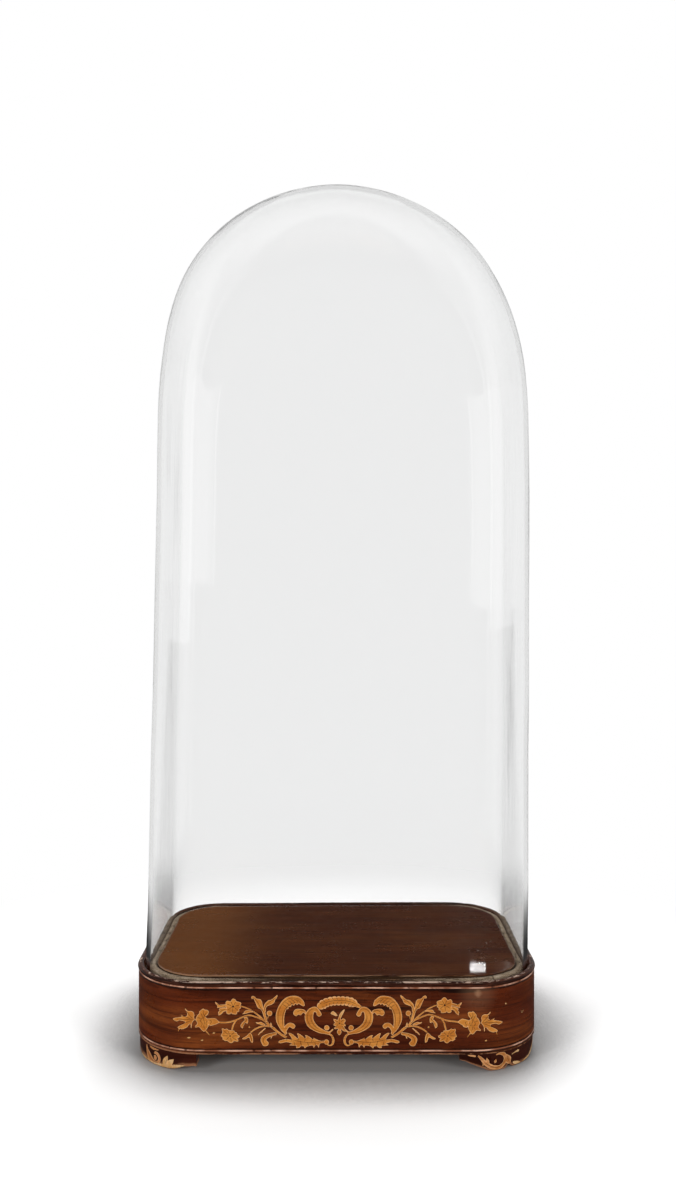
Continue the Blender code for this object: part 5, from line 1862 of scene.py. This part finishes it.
    def left_sprig(self, inlay):
        inlay.ribbon(
            [(152.6, 11.6, 0.8), (151.6, 8.4, 3), (149.4, 5.4, 5.2), (146.2, 3, 5), (142.8, 1.9, 3.2),
             (139.8, 1.6, 1.6), (137, 2.6, 2), (135.6, 5.2, 2.6), (136.8, 7.8, 2.6), (139.6, 8.9, 2),
             (141.8, 8, 1)],
        )
        inlay.ball(140.4, 5.2, 1.7)
        inlay.cut([(151, 8.6), (148.4, 5), (144.6, 2.6), (139.6, 1.7), (136.6, 3.6)])
        inlay.ribbon([(147.4, 11.9, 0.7), (144, 11.3, 1.6), (140.4, 11.4, 1.2), (136.6, 11.8, 0.5)])
        inlay.leaf((131.6, 1.2), (127.4, 9.6), 4.4, wood=inlay.PALE)
        inlay.leaf((128.4, 1.6), (121.8, 8.0), 4.2, wood=inlay.PALE)
        inlay.cut([(130, 2.4), (127.6, 7.4)])
        inlay.ribbon(
            [(164, 1.2, 0.8), (157, 1.1, 2.2), (150, 0.9, 1.8), (142, 0.9, 1.8), (135, 1.3, 2.6),
             (129, 1.7, 3.4), (124, 2.3, 3.8), (119, 3.2, 3), (113, 4.4, 0.9)],
            wood=inlay.PALE, teeth=23, tooth=0.8,
        )


class DOME_OT_platform(bpy.types.Operator):
    """Make the veneered top of the platform"""

    bl_idname = "dome.platform"
    bl_label = "Platform top"

    EASE = 0.0004
    STEP = 0.003

    def execute(self, context):
        low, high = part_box("platform_veneer")
        inset = HALF_WIDTH - high.x
        levels = [(inset + 0.0002, low.z), (inset, low.z + 0.0002), (inset, high.z - self.EASE),
                  (inset + self.EASE * 0.3, high.z - self.EASE * 0.3), (inset + self.EASE, high.z)]
        s = np.arange(0, PERIMETER, self.STEP)
        points = np.array([outline_points(s, depth, z) for depth, z in levels])
        us = np.arange(len(levels)) * self.EASE
        ends = [points[row, :, :2].tolist() for row in (0, -1)]
        faces, uvs = sleeve(points, us, np.append(s, PERIMETER), ends=ends)
        self.top = high.z
        tones = srgb(76, 37, 15), srgb(108, 62, 28)
        finish = rosewood(
            "rosewood_platform", "Object", 0.9, tones, finish_off=self.pale_edge_and_highlight, coat_rough=0.02, bump=0.04
        )
        top = mesh_object("platform_top_sheet", points.reshape(-1, 3), faces, uvs, [finish], sharp=15.0)
        ride_base(top, "rosewood", "platform_veneer")
        return {"FINISHED"}

    def pale_edge_and_highlight(self, g, at, base):
        """The edge of the sheet is rubbed down to pale wood in long stretches, which also stands as a painted
        highlight along the eased edge.
        """
        wood = bpy.context.scene.dome_wood
        along, _, height = g.parts(at)
        edge = g.ramp(height, self.top - 0.0001, self.top - 0.0004)
        worn = g.ramp(g.noise(at, (28.0, 28.0, 500.0), detail=4.0, rough=0.6), 0.42, 0.52)
        fine = g.ramp(g.noise(at, (12.0, 620.0, 1.0), detail=4.0, rough=0.65), 0.34, 0.66)
        golden = g.ramp(g.plus(along, g.times(fine, 0.02)), -0.035, -0.105)
        base = g.mix(0.6, base, g.mix(fine, srgb(38, 13, 4), srgb(94, 48, 20)))
        # The pale edge is partly wear and partly a painted highlight along the eased edge.
        return g.paint(base, (srgb(136, 84, 40), golden, 0.5), (wood.bare, g.times(edge, worn), 0.85))


class DOME_OT_carcass(bpy.types.Operator):
    """Give the softwood carcass, the blocks and the screws their finish"""

    bl_idname = "dome.carcass"
    bl_label = "Carcass"

    def execute(self, context):
        across, along, metal = pine("pine_across", QUARTER_TURN), pine("pine_along", 0.0), iron()
        slots = {entry["node"]: entry["material_slot"] for entry in frame["record"]["subparts"]}
        for node, piece in frame["nodes"].items():
            if piece.hide_render:
                continue
            low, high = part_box(node)
            if slots[node] == "softwood":
                finish = along if high.x - low.x >= high.y - low.y else across
            elif slots[node] == "steel":
                finish = metal
            else:
                raise RuntimeError(f"{node} has no finish")
            piece.data.materials.clear()
            piece.data.materials.append(finish)
        return {"FINISHED"}


class DOME_PT_sidebar(bpy.types.Panel):
    bl_idname = "DOME_PT_sidebar"
    bl_label = "Display Dome"
    bl_space_type = "VIEW_3D"
    bl_region_type = "UI"
    bl_category = "Display Dome"

    def draw(self, context):
        layout = self.layout
        for maker in OPERATORS:
            layout.operator(maker.bl_idname)
        for name, group in SETTINGS.items():
            box = layout.box()
            box.label(text=name.replace("_", " ").capitalize())
            for key in group.__annotations__:
                box.prop(getattr(context.scene, name), key)


OPERATORS = (
    DOME_OT_stage, DOME_OT_glass, DOME_OT_cord, DOME_OT_bead, DOME_OT_veneer, DOME_OT_bands,
    DOME_OT_marquetry, DOME_OT_feet, DOME_OT_platform, DOME_OT_carcass,
)


def register():
    for name, group in SETTINGS.items():
        bpy.utils.register_class(group)
        setattr(bpy.types.Scene, name, PointerProperty(type=group))
    for maker in (*OPERATORS, DOME_PT_sidebar):
        bpy.utils.register_class(maker)


def unregister():
    for maker in (DOME_PT_sidebar, *reversed(OPERATORS)):
        bpy.utils.unregister_class(maker)
    for name, group in reversed(SETTINGS.items()):
        delattr(bpy.types.Scene, name)
        bpy.utils.unregister_class(group)


def main():
    register()
    for maker in OPERATORS:
        family, name = maker.bl_idname.split(".")
        getattr(getattr(bpy.ops, family), name)()


if __name__ == "__main__":
    main()
